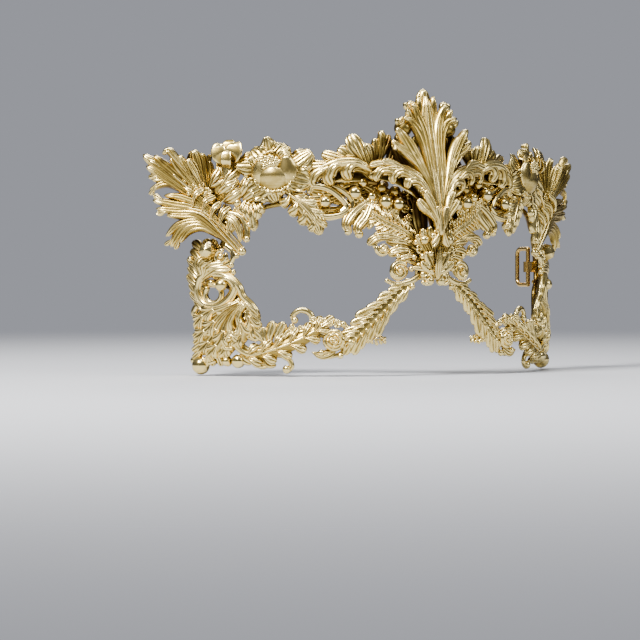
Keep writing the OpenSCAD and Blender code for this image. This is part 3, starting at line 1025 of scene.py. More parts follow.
@dataclass
class BrowGroup:
    """The castings over one eye: star leaf, scroll and pearls, fronds, drooping leaf, curls and blossoms."""

    pearl: float = 3.2

    def star(self) -> Casting:
        """Makes the four-way star leaf over its hollow.

        Returns:
            The casting.
        """
        c = Casting("star_leaf", "gilt_castings")
        foot = seat(-14.0, 42.4, 6.4)
        c.extend(fan(foot, seat(-16.0, 48.2, 7.4), [seat(-21.8, 53.6, 5.0), seat(-18.8, 59.6, 5.4),
                    seat(-15.4, 55.8, 6.2)], 7.6, -17, 1.0, flutes=3, spread=0.42, lift=0.9))
        c.extend(fan(seat(-13.6, 42.6, 5.8), seat(-11.4, 49, 6.2),
                [seat(-13.2, 58.4, 5.2), seat(-11.4, 61.8, 5.8), seat(-9.4, 60.0, 5.4),
                    seat(-8.0, 55.4, 4.6)], 4.6, -10, 1.0, flutes=2, lift=0.9))
        run = [seat(-13.6, 42.6, 7.2), seat(-17.4, 47.2, 8.6), seat(-22.2, 47.4, 8.2),
            seat(-26.8, 44.2, 6.0), seat(-30.0, 40.8, 4.2)]
        c.add(Blade(run, 8.4, Outline.SPEAR, 3, 0.8, 2.4, cup=-2.8, root=0.5, along=80, front=32))
        for k, (phi, z, out) in enumerate(((-19.4, 39.6, 7.0), (-23.6, 37.2, 6.2), (-27.6, 36.4, 5.0))):
            at, tangent, outward, _ = (a[0] for a in Spine(run).sample(np.array([0.30 + 0.24 * k])))
            back = Spine(run).sample(np.array([0.02 + 0.18 * k]))[0][0]
            c.add(strand([back - outward * 0.2 * k, at + outward * 0.4 - spot(0, 0, 0.8),
                        (at + seat(phi, z, out)) / 2 + tangent * 2.6 + outward * 0.9, seat(phi, z, out)],
                        6.6, None, -1.0, flutes=3, cup=-1.4))
        for tip, root in ((seat(-25.6, 51.4, 4.4), 0.34), (seat(-30.2, 46.0, 3.8), 0.56)):
            at, tangent, outward, _ = (a[0] for a in Spine(run).sample(np.array([root])))
            c.add(strand([at - tangent * 2, (at + tip) / 2 + tangent * 1.4 + outward * 0.4, tip], 5.6, None,
                    0.8, flutes=3))
        c.add(Rod([seat(-14.0, 43.4, 8.6), seat(-17.8, 47.2, 10.0), seat(-22.4, 46.8, 9.6),
                    seat(-26.4, 43.6, 7.2)], 0.8, 0.5, along=46, around=10))
        c.add(Blade([seat(-15, 41.4, 4.0), seat(-20, 43.2, 4.4), seat(-25.6, 41.2, 3.8)], 8.6,
                Outline.FINGER, 0, 0, 1.6, cup=2.2, along=50, front=22))
        c.add(Ball(seat(-14.2, 42.0, 7.6), 2.3, 18))
        return c

    def scroll(self) -> Casting:
        """Makes the scroll that holds the pearls, on its lobed ground leaves.

        Returns:
            The casting.
        """
        c = Casting("pearl_scroll", "gilt_beads")
        c.add(Rod([seat(-29.4, 33.6, 3.6), seat(-28.4, 37.0, 4.2), seat(-25.4, 36.4, 4.8),
                    seat(-22.6, 33.2, 4.8), seat(-20.6, 28.6, 4.4), seat(-22.4, 25.2, 4.2)], 1.6, 1.3,
                    grooves=3, along=80, around=24))
        c.add(Rod([seat(-28.4, 24.4, 3.6), seat(-25.6, 23.6, 4.0), seat(-22.4, 24.4, 4.0),
                    seat(-19.8, 26.6, 3.6)], 1.7, 1.3, grooves=3, along=50, around=24))
        c.add(Rod([seat(-24.6, 38.0, 3.4), seat(-21.4, 35.4, 4.2), seat(-19.2, 31.0, 4.2),
                    seat(-19.4, 26.6, 3.8)], 1.5, 1.1, grooves=3, along=60, around=24))
        c.add(Ball(seat(-25.6, 30.4, 4.8), 2.7, 26), Ball(seat(-18.4, 34.4, 5.0), 3.0, 26),
            Ball(seat(-11, 30.6, 5.0), self.pearl, 28))
        c.add(Ball(seat(-16.2, 39.0, 3.8), 2.4, 22), Ball(seat(-11.6, 36.8, 3.6), 2.6, 24),
            Ball(seat(-14.2, 33, 4.2), 2.0, 18))
        c.add(Rod([seat(-26.6, 33, 2.2), seat(-19, 38.2, 1.8), seat(-12.5, 39, 1.8), seat(-9, 31.6, 1.8)],
                2.4, 1.8, along=50))
        c.extend(fan(seat(-18.6, 34, 1.4), seat(-23, 30.6, 2.0),
                [seat(-27.2, 26.0, 2.4), seat(-29.4, 28.6, 2.4), seat(-30.2, 32.0, 2.4),
                    seat(-29.6, 36.0, 2.4)], 5.0, None, 0.5))
        c.extend(fan(seat(-19, 37, 1.2), seat(-16.4, 33.4, 1.8),
                [seat(-20.4, 28.2, 2.2), seat(-17.0, 26.8, 2.2), seat(-13.4, 27.4, 2.2),
                    seat(-11.4, 31.0, 2.2)], 5.2, None, 0.5))
        c.extend(fan(seat(-18, 34, 1.0), seat(-14.6, 36.6, 1.4),
                [seat(-15.8, 42.2, 1.8), seat(-12.4, 41.8, 1.8), seat(-9.6, 38.6, 1.8),
                    seat(-8.6, 34.6, 1.8)], 5.0, None, 0.5))
        c.extend(fan(seat(-19, 35, 1.0), seat(-22.6, 37.4, 1.4),
                [seat(-20.8, 42.6, 1.8), seat(-24.0, 41.8, 1.8), seat(-26.8, 39.6, 2.0)], 5.0, None, 0.5))
        for k in range(12):
            c.add(Ball(seat(-19.6 - 0.9 * k, 39.2 - 0.75 * k + 0.8 * (k % 2), 3.4), 0.9 + 0.2 * (k % 3),
                    12))
        for k in range(9):
            c.add(Ball(seat(-12.4 - 0.9 * k, 29.6 + 0.3 * k + 0.9 * (k % 2), 3.6), 0.9 + 0.2 * (k % 3), 12))
        return c

    def blossoms(self) -> Casting:
        """Makes the cluster of tiny flowers and beads.

        Returns:
            The casting.
        """
        c = Casting("blossom_cluster", "gilt_beads")
        spots = ((-9.2, 25.4), (-6.4, 27.6), (-5.2, 23.6), (-8.4, 21.6), (-11.4, 24.0), (-3.4, 27.0),
            (-10.8, 28.2), (-6.2, 20.2))
        for k, (phi, z) in enumerate(spots):
            c.add(Blossom(seat(phi, z, 4.2 + 0.4 * (k % 2)), 2.4 - 0.3 * (k % 3), phi, 20.0 * k))
        for k in range(16):
            c.add(Ball(seat(-7.4 + 4.6 * math.cos(k * 2.4) * (0.5 + 0.03 * k),
                        25 + 6.2 * math.sin(k * 2.4) * (0.5 + 0.03 * k), 3.2 + 0.5 * (k % 3)),
                        0.95 + 0.15 * (k % 3), 10))
        c.add(Blade([seat(-10.8, 27, 1.8), seat(-7, 25, 2.2), seat(-3.4, 22.6, 1.8)], 9.0, Outline.PETAL, 0,
                0, 2.2, along=24, front=20))
        c.extend(fan(seat(-2.6, 15, 1.6), seat(-5.0, 24, 2.0),
                [seat(-13.6, 29.0, 2.2), seat(-11.6, 33.4, 2.2), seat(-8.4, 36.2, 2.2),
                    seat(-5.0, 35.4, 2.2), seat(-2.4, 31.4, 2.0)], 6.0, None, 0.4))
        c.extend(fan(seat(-2.4, 14, 2.6), seat(-5.4, 18, 3.0),
                [seat(-10.4, 19.6, 3.4), seat(-9.4, 23.0, 3.4), seat(-6.2, 24.6, 3.4)], 4.6, None, 0.5))
        c.add(Ball(seat(-8.4, 35.2, 4.2), 2.6, 24), Ball(seat(-7.8, 29.6, 5.4), 3.0, 26),
            Ball(seat(-5.0, 32.6, 3.4), 1.6, 18))
        for k in range(10):
            c.add(Ball(seat(-6.0 + 3.6 * math.sin(k * 2.4), 31.6 + 3.4 * math.cos(k * 2.4), 3.6),
                    0.9 + 0.25 * (k % 3), 12))
        return c

    def frond(self) -> Casting:
        """Makes the barbed frond that runs up from the bridge.

        Returns:
            The casting.
        """
        c = Casting("brow_frond", "gilt_castings")
        run = [seat(-3.4, 12.6, 5.6), seat(-8.0, 18.2, 5.2), seat(-13.0, 23.2, 4.2), seat(-18.4, 31.4, 3.2)]
        c.add(Blade(run, 7.4, Outline.SPEAR, 4, 0.5, 1.6, cup=-0.8, along=60, front=28))
        c.add(Frond(run, 9.6, 17, 0.6, 0.7, 0.5, barb_width=1.9))
        return c

    def droop(self) -> Casting:
        """Makes the drooping leaf with two rolled lobes.

        Returns:
            The casting.
        """
        c = Casting("drop_leaf", "gilt_castings")
        c.add(Blade([seat(-14.6, 31.6, 3.2), seat(-18.6, 26, 4.4), seat(-20.8, 20.6, 4.6),
                    seat(-20.0, 16.4, 3.6)], 6.0, Outline.FINGER, 3, 0.6, 1.8, cup=-1.4, curl=0.8, along=56,
                    front=26))
        c.add(Blade([seat(-14.4, 30.6, 3.4), seat(-16.0, 24, 4.6), seat(-18.2, 19, 4.8),
                    seat(-17.8, 15.2, 3.6)], 6.0, Outline.FINGER, 3, 0.6, 1.8, cup=-1.4, curl=0.8, along=56,
                    front=26))
        c.add(Blade([seat(-13.6, 29.6, 3.0), seat(-14.0, 24, 4.0), seat(-15.6, 18.4, 3.4)], 4.6,
                Outline.FINGER, 2, 0.5, 1.5, cup=-1.0, along=44, front=20))
        c.add(Ball(seat(-18.0, 16.2, 4.2), 1.9, 18), Ball(seat(-20.6, 17.2, 4.0), 1.6, 16))
        return c

    def curls(self) -> Casting:
        """Makes the strand that runs from the bridge and ends in curls.

        Returns:
            The casting.
        """
        c = Casting("brow_curls", "gilt_castings")
        c.add(Rod([seat(-2.6, 10.4, 5.2), seat(-6.4, 14.0, 4.8), seat(-10.2, 15.2, 4.0),
                    seat(-13.8, 13.0, 3.8), seat(-14.4, 9.8, 3.6)], 1.5, 1.0, grooves=2, along=60))
        place = local(seat(-12.4, 9.6, 3.8), -12)
        c.add(Rod(spiral(place, 2.9, 0.5, 1.5, 150, 1.0), 1.25, 0.8, facing=-12, along=56, around=12))
        place = local(seat(-8.0, 9.6, 4.2), -8)
        c.add(Rod(spiral(place, 2.3, 0.5, 1.4, 60, 1.0), 1.1, 0.7, facing=-8, along=50, around=12))
        c.add(Rod([seat(-3.0, 8.4, 5.2), seat(-5.8, 11.4, 4.8), seat(-8.2, 12.2, 4.2)], 1.3, 0.9, along=36))
        for a, b, d, w in (((-3.4, 9.0), (-7.6, 12.8), (-11.6, 13.8), 5.2),
            ((-3.0, 7.0), (-7.4, 9.4), (-11.2, 7.4), 5.0), ((-2.8, 5.0), (-6.2, 6.4), (-9.2, 5.0), 4.6),
            ((-6.4, 12.8), (-10.6, 15.6), (-14.6, 15.4), 5.0),
            ((-9.0, 13.6), (-13.4, 14.6), (-16.2, 11.6), 4.4)):
            c.add(strand([seat(*a, 4.0), seat(*b, 5.2), seat(*d, 3.8)], w, None, -0.8, flutes=3, cup=-1.0))
        for k in range(6):
            c.add(Ball(seat(-4.4 - 1.5 * k, 6.6 + 1.1 * (k % 3), 5.2), 0.9 + 0.2 * (k % 2), 12))
        c.add(Ball(seat(-12.4, 9.6, 5.0), 1.2, 14), Ball(seat(-8.0, 9.6, 5.2), 1.0, 14),
            Ball(seat(-5.4, 7.6, 4.6), 1.5, 16))
        return c


@dataclass
class NoseGroup:
    """The feather leaf beside the nose, and the rose at its lower end."""

    feather_width: float = 10.6

    def feather(self) -> Casting:
        """Makes the feather leaf.

        Returns:
            The casting.
        """
        c = Casting("nose_feather", "gilt_castings")
        run = [seat(-4.8, -4.2, 3.8), seat(-9.4, -10.4, 4.0), seat(-14.2, -19.2, 4.2),
            seat(-19.0, -28.0, 3.8), seat(-22.8, -33.4, 3.2)]
        c.add(Blade(run, 7.6, Outline.FINGER, 0, 0, 2.0, cup=-1.0, along=80, front=26))
        c.add(Frond(run, self.feather_width, 15, 0.85, 1.75, 0.9, Outline.FINGER, 3.6, uneven=0.34))
        c.add(Frond([seat(-18.2, -27.4, 3.2), seat(-14.6, -30.0, 3.4), seat(-11.8, -30.6, 3.0)], 4.6, 6,
                0.6, 0.7, 0.3, barb_width=1.7))
        c.add(Rod([seat(-19.4, -31.6, 3.0), seat(-22.6, -36.0, 3.0), seat(-26.0, -38.2, 2.6)], 1.2, 0.8,
                grooves=2, along=34))
        return c

    def rose(self) -> Casting:
        """Makes the rose, its buds and its under-leaf.

        Returns:
            The casting.
        """
        c = Casting("rose", "gilt_castings")
        place = local(seat(-24.6, -30.4, 4.0), -25)
        for ring, (r, high, n) in enumerate(((4.0, 0.0, 5), (2.7, 1.1, 4), (1.4, 2.0, 3))):
            for k in range(n):
                a = math.radians(360 * k / n + 33 * ring)
                arc = [place(r * math.cos(a + d), r * math.sin(a + d),
                        high + 0.5 * math.cos(3 * d)) for d in (-0.75, -0.35, 0.05, 0.45, 0.85)]
                c.add(Rod(arc, 1.15 - 0.2 * ring, 0.8 - 0.12 * ring, 1.5, facing=-25, along=22, around=12))
        c.add(Ball(place(0, 0, 2.4), 1.0, 14))
        c.add(Blade([place(-4.6, 0, -0.8), place(0, 0, -0.2), place(4.6, 0, -0.8)], 9.4, Outline.PETAL, 0,
                0, 2.4, facing=-25, along=24, front=22))
        for phi, z, r in ((-20.6, -31.4, 1.7), (-20.2, -27.0, 1.5), (-22.4, -23.4, 1.5),
            (-27.6, -36.0, 1.5), (-23.0, -37.2, 1.4)):
            c.add(Ball(seat(phi, z, 3.8), r, 16))
        c.add(Rod([seat(-20.4, -28, 2.8), seat(-21.6, -24.6, 3.0), seat(-24.4, -22.2, 3.2),
                    seat(-27.0, -23.8, 3.2)], 1.3, 1.1, along=40))
        for k in range(4):
            c.add(Blossom(seat(-23.8 - 1.9 * k, -23.2 + 0.5 * k, 4.2), 1.9, -25, 17.0 * k))
        c.add(Blade([seat(-24, -35, 2.8), seat(-27.4, -37, 3.4), seat(-30, -35.6, 3.0)], 4.4, Outline.SPEAR,
                3, 0.4, 1.5, along=34, front=20))
        return c


@dataclass
class CheekGroup:
    """The castings under one eye: the ribbed cheek leaf and its curls."""

    lobe: float = 6.0

    def leaf(self) -> Casting:
        """Makes the cheek leaf: a rib with broad round lobes on both sides, and the lacy leaf over it.

        Returns:
            The casting.
        """
        c = Casting("cheek_leaf", "gilt_castings")
        run = [seat(-46.0, -38.0, 3.6), seat(-39.4, -35.0, 4.6), seat(-32.0, -29.4, 4.8),
            seat(-25.4, -21.8, 3.4)]
        c.add(Blade(run, 6.8, Outline.FINGER, 0, 0, 1.9, cup=-1.0, along=70, front=28))
        for k, t in enumerate((0.06, 0.22, 0.38, 0.54, 0.70, 0.84)):
            at, tangent, out, side = (a[0] for a in Spine(run).sample(np.array([t])))
            for s in (-1, 1):
                long = self.lobe * (1 if s > 0 else 0.9) * (1 - 0.7 * abs(t - 0.42)) * (
                    1 + 0.1 * math.sin(3.1 * k))
                tip = at + side * s * long + tangent * 4.6 - out * 0.5
                c.add(strand([at - tangent * 1.6, at + side * s * long * 0.5 + tangent * 1.2 + out * 1.2,
                            tip], 5.4 - 0.25 * k, None, -0.6, flutes=3, cup=-0.9))
        c.add(strand([seat(-29.0, -26.2, 4.2), seat(-26.6, -23.2, 4.4), seat(-24.4, -20.2, 3.2)], 5.0, None,
                -0.5, flutes=3))
        c.add(Rod([p + FACE.outward(p[None], None)[0] * 1.0 for p in run], 0.85, 0.45, 1.0, along=60,
                around=12))
        lace = ((-40.0, -34.6, -41.6, -24.8, 5.0), (-39.6, -34.2, -39.0, -22.2, 5.4),
            (-38.6, -33.6, -36.4, -22.6, 5.2), (-37.4, -32.6, -34.2, -25.2, 4.6))
        for a, z0, b, z1, w in lace:
            c.add(strand([seat(a, z0, 3.0), seat((a + b) / 2 - 0.5, (z0 + z1) / 2, 4.2), seat(b, z1, 3.2)],
                    w, None, 1.0, flutes=2))
        for phi, z, r in ((-42.4, -23.6, 1.2), (-33.4, -27.2, 1.2), (-34.6, -24.2, 1.2)):
            c.add(Ball(seat(phi, z, 3.8), r, 14))
        for k in range(3):
            c.add(Blossom(seat(-34.2 + 1.8 * k, -25.6 + 0.2 * k, 4.2), 1.7, -34, 31.0 * k))
        return c

    def curls(self) -> Casting:
        """Makes the curls above and below the cheek leaf, and the scroll round the gap beside it.

        Returns:
            The casting.
        """
        c = Casting("cheek_curls", "gilt_castings")
        c.add(Rod([seat(-32.6, -28.0, 3.0), seat(-29.8, -23.6, 3.6), seat(-30.2, -18.8, 4.0),
                    seat(-32.6, -17.2, 4.0), seat(-34.4, -19.6, 3.8), seat(-33.8, -22.0, 3.8)], 1.5, 1.1,
                    grooves=2, along=80, around=20))
        c.add(Ball(seat(-33.9, -21.6, 4.0), 1.6, 18))
        c.add(Rod([seat(-41.6, -37.8, 3.0), seat(-38.4, -36.8, 3.4), seat(-35.8, -38.0, 3.6),
                    seat(-34.6, -41.6, 3.6), seat(-35.6, -44.0, 3.6)], 1.4, 1.1, grooves=2, along=60,
                    around=20))
        c.add(Ball(seat(-35.8, -43.2, 4.2), 1.9, 20))
        c.add(Rod([seat(-44.4, -26.4, 3.6), seat(-46.6, -28.4, 3.8), seat(-47.0, -32.4, 3.8),
                    seat(-44.2, -35.8, 3.8), seat(-41.0, -34.2, 3.6), seat(-39.8, -30.4, 3.4)], 1.5, 1.2,
                    grooves=2, along=70, around=20))
        c.add(Rod([seat(-42.6, -33.6, 3.6), seat(-41.4, -31.4, 3.8), seat(-42.4, -30.0, 3.8)], 1.1, 0.9,
                along=30, around=12))
        c.add(Blade([seat(-43.4, -38.2, 3.0), seat(-42.6, -41.0, 3.4), seat(-40.4, -42.2, 3.0)], 3.6,
                Outline.FINGER, 2, 0.4, 1.4, along=30, front=18))
        c.add(Blade([seat(-41.6, -38.4, 3.0), seat(-40.4, -41.0, 3.4), seat(-38.4, -41.6, 3.0)], 3.4,
                Outline.FINGER, 2, 0.4, 1.4, along=30, front=18))
        return c


@dataclass
class CornerGroup:
    """The lower outer corner: the big fluted acanthus, its knobs and the volute above."""

    acanthus_flute: float = 0.42

    def acanthus(self) -> Casting:
        """Makes the fluted acanthus: strands that sweep down from under the volute to a serrated edge.

        Returns:
            The casting.
        """
        c = Casting("corner_acanthus", "gilt_castings")
        sweep = (
            ((-46.4, -12.6, 4.2), (-50.2, -15.6, 6.2), (-55.6, -18.8, 5.4), (-59.8, -24.8, 3.0), 5.6, 3),
            ((-46.8, -13.0, 4.2), (-51.6, -19.2, 5.4), (-55.2, -25.6, 5.6), (-59.8, -30.4, 3.0), 5.6, 3),
            ((-46.6, -13.0, 4.4), (-51.4, -22.0, 6.4), (-54.4, -30.0, 5.0), (-58.8, -36.6, 3.2), 6.0, 3),
            ((-46.2, -13.2, 4.6), (-50.2, -22.4, 5.8), (-51.8, -31.0, 6.4), (-56.0, -38.4, 4.0), 5.8, 3),
            ((-45.6, -13.2, 4.8), (-49.0, -21.6, 7.2), (-49.2, -30.0, 5.6), (-52.4, -38.2, 4.6), 5.4, 2),
            ((-44.8, -13.0, 4.6), (-47.2, -20.0, 6.6), (-46.4, -27.0, 5.8), (-49.0, -33.4, 5.4), 5.0, 2),
            ((-44.2, -13.6, 4.0), (-45.2, -19.2, 5.6), (-44.0, -24.0, 5.0), (-45.6, -29.4, 4.4), 4.4, 2),
        )
        for k, (a, b, d, e, w, n) in enumerate(sweep):
            a, b, d, e = seat(*a), seat(*b), seat(*d), seat(*e)
            c.add(Blade([a, b, d, e], w + 1.6, Outline.CLUB, n, self.acanthus_flute, 2.2, cup=-1.4,
                    curl=0.8, root=0.5, ruffle=0.4, along=70, front=11 * n + 10))
            for m, at in enumerate((0.62, 0.84)):
                heart, tangent, out, side = (v[0] for v in Spine([a, b, d, e]).sample(np.array([at])))
                for s in (-1, 1):
                    c.add(strand([heart - tangent * 4.0 + out * 0.3, heart + side * s * 2.0 + out * 0.9,
                                heart + side * s * (4.0 - 0.5 * m) + tangent * (2.6 - 0.3 * k)], 3.4, None,
                                -0.6, flutes=1, cup=-0.6))
        c.add(Blade([seat(-47, -12, 2.6), seat(-50.4, -22, 3.2), seat(-53.6, -31, 3.0),
                    seat(-55.6, -38, 2.6)], 15, Outline.FINGER, 0, 0, 1.8, cup=-1.6, root=0.6, along=60,
                    front=26))
        for k in range(5):
            z, phi = -23.6 - 3.2 * k, -57.0 - 0.15 * k
            c.add(strand([seat(phi + 2.6, z + 3.0, 3.4), seat(phi, z + 0.8, 3.8),
                        seat(phi - 2.6 - 0.3 * (k % 2), z - 2.4, 2.6)], 4.0, None, 0.8))
        for k in range(4):
            z, phi = -16.4 - 3.4 * k, -44.2 + 0.35 * k
            c.add(strand([seat(phi - 2.8, z + 3.2, 4.4), seat(phi - 0.8, z + 0.6, 5.0),
                        seat(phi + 1.4, z - 3.4, 3.6)], 4.4, None, 1.0))
        c.add(Rod([seat(-43.2, -24.4, 3.8), seat(-42.0, -27.4, 4.2), seat(-43.2, -29.8, 4.6),
                    seat(-45.4, -28.6, 5.0), seat(-45.0, -26.6, 5.2)], 1.5, 1.0, grooves=2, along=50,
                    around=20))
        c.add(Rod([seat(-48.4, -31.0, 6.0), seat(-47.2, -34.4, 5.6), seat(-45.0, -36.6, 5.0),
                    seat(-42.8, -36.0, 4.2)], 1.5, 0.9, grooves=2, along=50, around=20))
        c.add(Rod([seat(-49.0, -29.4, 6.4), seat(-50.8, -31.6, 6.6), seat(-50.4, -34.2, 6.4),
                    seat(-48.6, -34.0, 6.4)], 1.2, 0.9, along=36, around=14))
        c.add(Blossom(seat(-48.4, -27.2, 6.8), 2.2, -48))
        return c

    def knob(self) -> Casting:
        """Makes the round knob at the corner and the smaller beads beside it.

        Returns:
            The casting.
        """
        c = Casting("corner_knob", "gilt_beads")
        c.add(Ball(seat(-58.0, -42.0, 3.4), 4.0, 32), Ball(seat(-60.2, -39.8, 2.8), 1.7, 16),
            Ball(seat(-53.4, -36.8, 5.6), 1.7, 18))
        c.add(Ball(seat(-50.8, -40.0, 4.2), 2.1, 20), Ball(seat(-47.8, -39.8, 3.8), 3.1, 26),
            Ball(seat(-55.2, -38.2, 4.6), 1.2, 14))
        for a, b, z in ((-56.6, -53.6, -37.6), (-54.6, -51.4, -37.0), (-52.2, -49.6, -37.4),
            (-55.8, -55.6, -38.6)):
            c.add(strand([seat(a + 1.0, z + 3.6, 3.8), seat((a + b) / 2, z, 4.6),
                        seat(b - 0.6, -42.0, 3.2)], 3.8, None, 0.7))
        c.add(Rod([seat(-57.4, -38.6, 4.0), seat(-55.8, -40.8, 4.4), seat(-53.4, -39.8, 4.8)], 1.2, 0.8,
                along=34, around=12))
        c.add(Blade([seat(-47.4, -36.6, 3.8), seat(-46.2, -39.2, 4.2), seat(-44.6, -41.2, 3.0)], 3.6,
                Outline.FINGER, 2, 0.4, 1.4, along=26, front=16))
        return c

    def volute(self) -> Casting:
        """Makes the rolled volute with its bead, and the hooked scroll under it.

        Returns:
            The casting.
        """
        c = Casting("side_volute", "gilt_castings")
        c.add(Rod([seat(-54.6, 0.0, 4.6), seat(-57.6, -3.2, 4.8), seat(-58.4, -9.2, 4.8),
                    seat(-56.6, -14.4, 4.8), seat(-53.0, -15.6, 5.2), seat(-49.8, -12.2, 5.4),
                    seat(-48.4, -7.0, 5.6), seat(-50.2, -3.4, 5.8), seat(-52.8, -5.2, 5.8)], 2.2, 2.0, 0.9,
                    grooves=4, along=120, around=32))
        place = local(seat(-54.0, -10.2, 4.6), -54)
        c.add(Rod([place(4.1 * math.cos(a), 4.1 * math.sin(a), 0.4) for a in np.linspace(2.2, 2.2 + 5.9,
                        18)], 1.5, 1.2, 1.1, grooves=3, facing=-54, along=80, around=26))
        c.add(Rod([seat(-54.6, -1.4, 4.2), seat(-50.6, -2.4, 5.0), seat(-47.6, -6.6, 5.2),
                    seat(-46.4, -11.4, 4.8), seat(-44.2, -15.4, 4.2), seat(-43.0, -20.4, 3.6),
                    seat(-44.0, -25.2, 3.6)], 2.3, 1.4, 1.0, grooves=4, along=110, around=28))
        c.add(Ball(seat(-51.6, -6.2, 6.4), 2.8, 26), Ball(seat(-54.6, -5.4, 4.8), 1.7, 20))
        c.add(Rod([seat(-58.2, -14.4, 3.4), seat(-59.8, -18.2, 3.4), seat(-58.0, -22.4, 3.6),
                    seat(-55.0, -22.0, 4.0), seat(-54.4, -19.4, 4.2), seat(-56.0, -18.4, 4.2)], 1.8, 1.2,
                    1.0, grooves=3, along=70, around=24))
        c.add(Ball(seat(-55.9, -19.4, 4.8), 1.6, 18), Ball(seat(-52.2, -18.0, 5.4), 2.0, 20))
        c.add(Blade([seat(-52.4, -15.4, 4.6), seat(-54.0, -19.0, 5.0), seat(-58.4, -24.8, 3.4)], 4.6,
                Outline.FINGER, 3, 0.45, 1.6, along=40, front=24))
        return c


@dataclass
class TempleGroup:
    """The outer edge beside the eye: frond, cut bead, spiral and the corner leaves that flare outwards."""

    flare: float = -30.0
    bead: float = 4.3

    def frond(self) -> Casting:
        """Makes the frond along the outer edge and the curling lobes that cross to the volute.

        Returns:
            The casting.
        """
        c = Casting("temple_frond", "gilt_castings")
        c.add(Blade([seat(-57.4, -17, 2.4), seat(-58.6, -7, 2.6), seat(-57.4, 3, 3.0),
                    seat(-56.0, 12.6, 2.2)], 8.6, Outline.FINGER, 0, 0, 1.8, cup=-1.0, along=60, front=26))
        for k in range(8):
            z = -16.6 + 3.7 * k
            phi = -59.2 + 0.012 * (z + 4) ** 2
            c.add(strand([seat(phi + 2.6, z - 4.0, 3.4), seat(phi + 0.2, z, 4.6),
                        seat(phi - 2.3 - 0.5 * (k % 2), z + 3.6, 2.2)], 5.0, None, 0.7, flutes=2 + k % 2))
        waves = (
            ((-57.6, -2.0, 5.0), (-58.2, 3.2, 5.4), (-56.6, 6.6, 4.6), 5.4),
            ((-56.8, -1.6, 5.4), (-56.6, 2.8, 6.2), (-53.6, 5.8, 5.6), 5.6),
            ((-56.0, -1.4, 5.4), (-54.8, 1.6, 6.2), (-51.0, 3.2, 5.4), 5.4),
            ((-55.2, -1.8, 5.2), (-52.8, 0.4, 5.8), (-49.4, 0.6, 4.8), 5.0),
        )
        for a, b, d, w in waves:
            c.add(strand([seat(-58.4, -6.6, 4.4), seat(*a), seat(*b), seat(*d)], w, None, -0.7, flutes=2,
                    cup=-1.0))
        for phi, z in ((-49.4, 2.6), (-49.0, -0.6), (-50.6, 4.8), (-60.4, 5.4)):
            c.add(Ball(seat(phi, z, 4.4), 1.3, 14))
        return c

    def cut_bead(self) -> Casting:
        """Makes the cut bead in its setting, the ring bead beside it and the side beads.

        Returns:
            The casting.
        """
        c = Casting("faceted_bead", "gilt_beads")
        c.add(Facet(seat(-54.8, 8.8, 6.6), self.bead, -46))
        for k in range(7):
            a = math.radians(51.4 * k + 12)
            place = local(seat(-55.2, 8.8, 2.0), -53)
            c.add(Blade([place(1.6 * math.cos(a), 1.6 * math.sin(a), 0),
                        place(3.8 * math.cos(a), 3.8 * math.sin(a), 0.7),
                        place(5.8 * math.cos(a), 5.8 * math.sin(a), 0.4)], 4.6, Outline.PETAL, 3, 0.35, 1.2,
                        curl=0.6, facing=-55, along=20, front=18))
        place = local(seat(-51.8, 6.4, 5.0), -50)
        c.add(Rod([place(2.5 * math.cos(a), 2.5 * math.sin(a), 0) for a in np.linspace(1.0, 7.0, 16)], 1.2,
                0.9, facing=-50, along=56, around=14))
        c.add(Ball(place(0, 0, 0.2), 1.5, 18))
        c.add(Rod([seat(-50.8, 11.6, 4.6), seat(-48.8, 8.4, 4.8), seat(-49.2, 4.2, 4.6),
                    seat(-51.4, 2.4, 4.2)], 1.4, 0.9, grooves=2, along=50, around=18))
        for phi, z, r in ((-61.4, 1.4, 1.6), (-61.2, -5.2, 1.2)):
            c.add(Ball(seat(phi, z, 0.4), r, 20))
            c.add(Rod([seat(phi, z, 0.2), seat(-59.6, z, 1.2), seat(-58.0, z, 2.4)], 0.75, 0.8, facing=-20,
                    along=16, around=10))
        return c

    def spiral_ribbon(self) -> Casting:
        """Makes the small spiral and the ribbon over it.

        Returns:
            The casting.
        """
        c = Casting("temple_spiral", "gilt_castings")
        place = local(seat(-50.2, 19.8, 3.6), -50)
        c.add(Rod(spiral(place, 4.0, 0.5, 2.1, 200, 1.4, 26, ccw=False), 1.05, 0.6, facing=-50, along=90,
                around=14))
        c.add(Blade([place(4.6, 0, -1.0), place(0, 0, -0.4), place(-4.6, 0, -1.0)], 9.0, Outline.PETAL, 0,
                0, 2.2, facing=-50, along=24, front=20))
        c.add(Rod([seat(-45.4, 12.6, 3.8), seat(-45.0, 18.6, 4.2), seat(-46.2, 24.0, 4.4),
                    seat(-49.6, 25.6, 4.6), seat(-53.4, 22.6, 4.2)], 1.7, 1.2, 1.0, grooves=4, along=80,
                    around=26))
        c.add(Blade([seat(-46.8, 12.6, 4.0), seat(-46.6, 17.6, 5.0), seat(-48.4, 23.0, 5.2),
                    seat(-52.4, 24.4, 4.6)], 3.8, Outline.FINGER, 3, 0.4, 1.5, along=50, front=22))
        c.add(Ball(seat(-45.0, 14.0, 4.8), 1.5, 16), Ball(seat(-44.2, 20.4, 4.4), 1.4, 16),
            Ball(seat(-44.6, 24.6, 4.2), 1.7, 18))
        return c

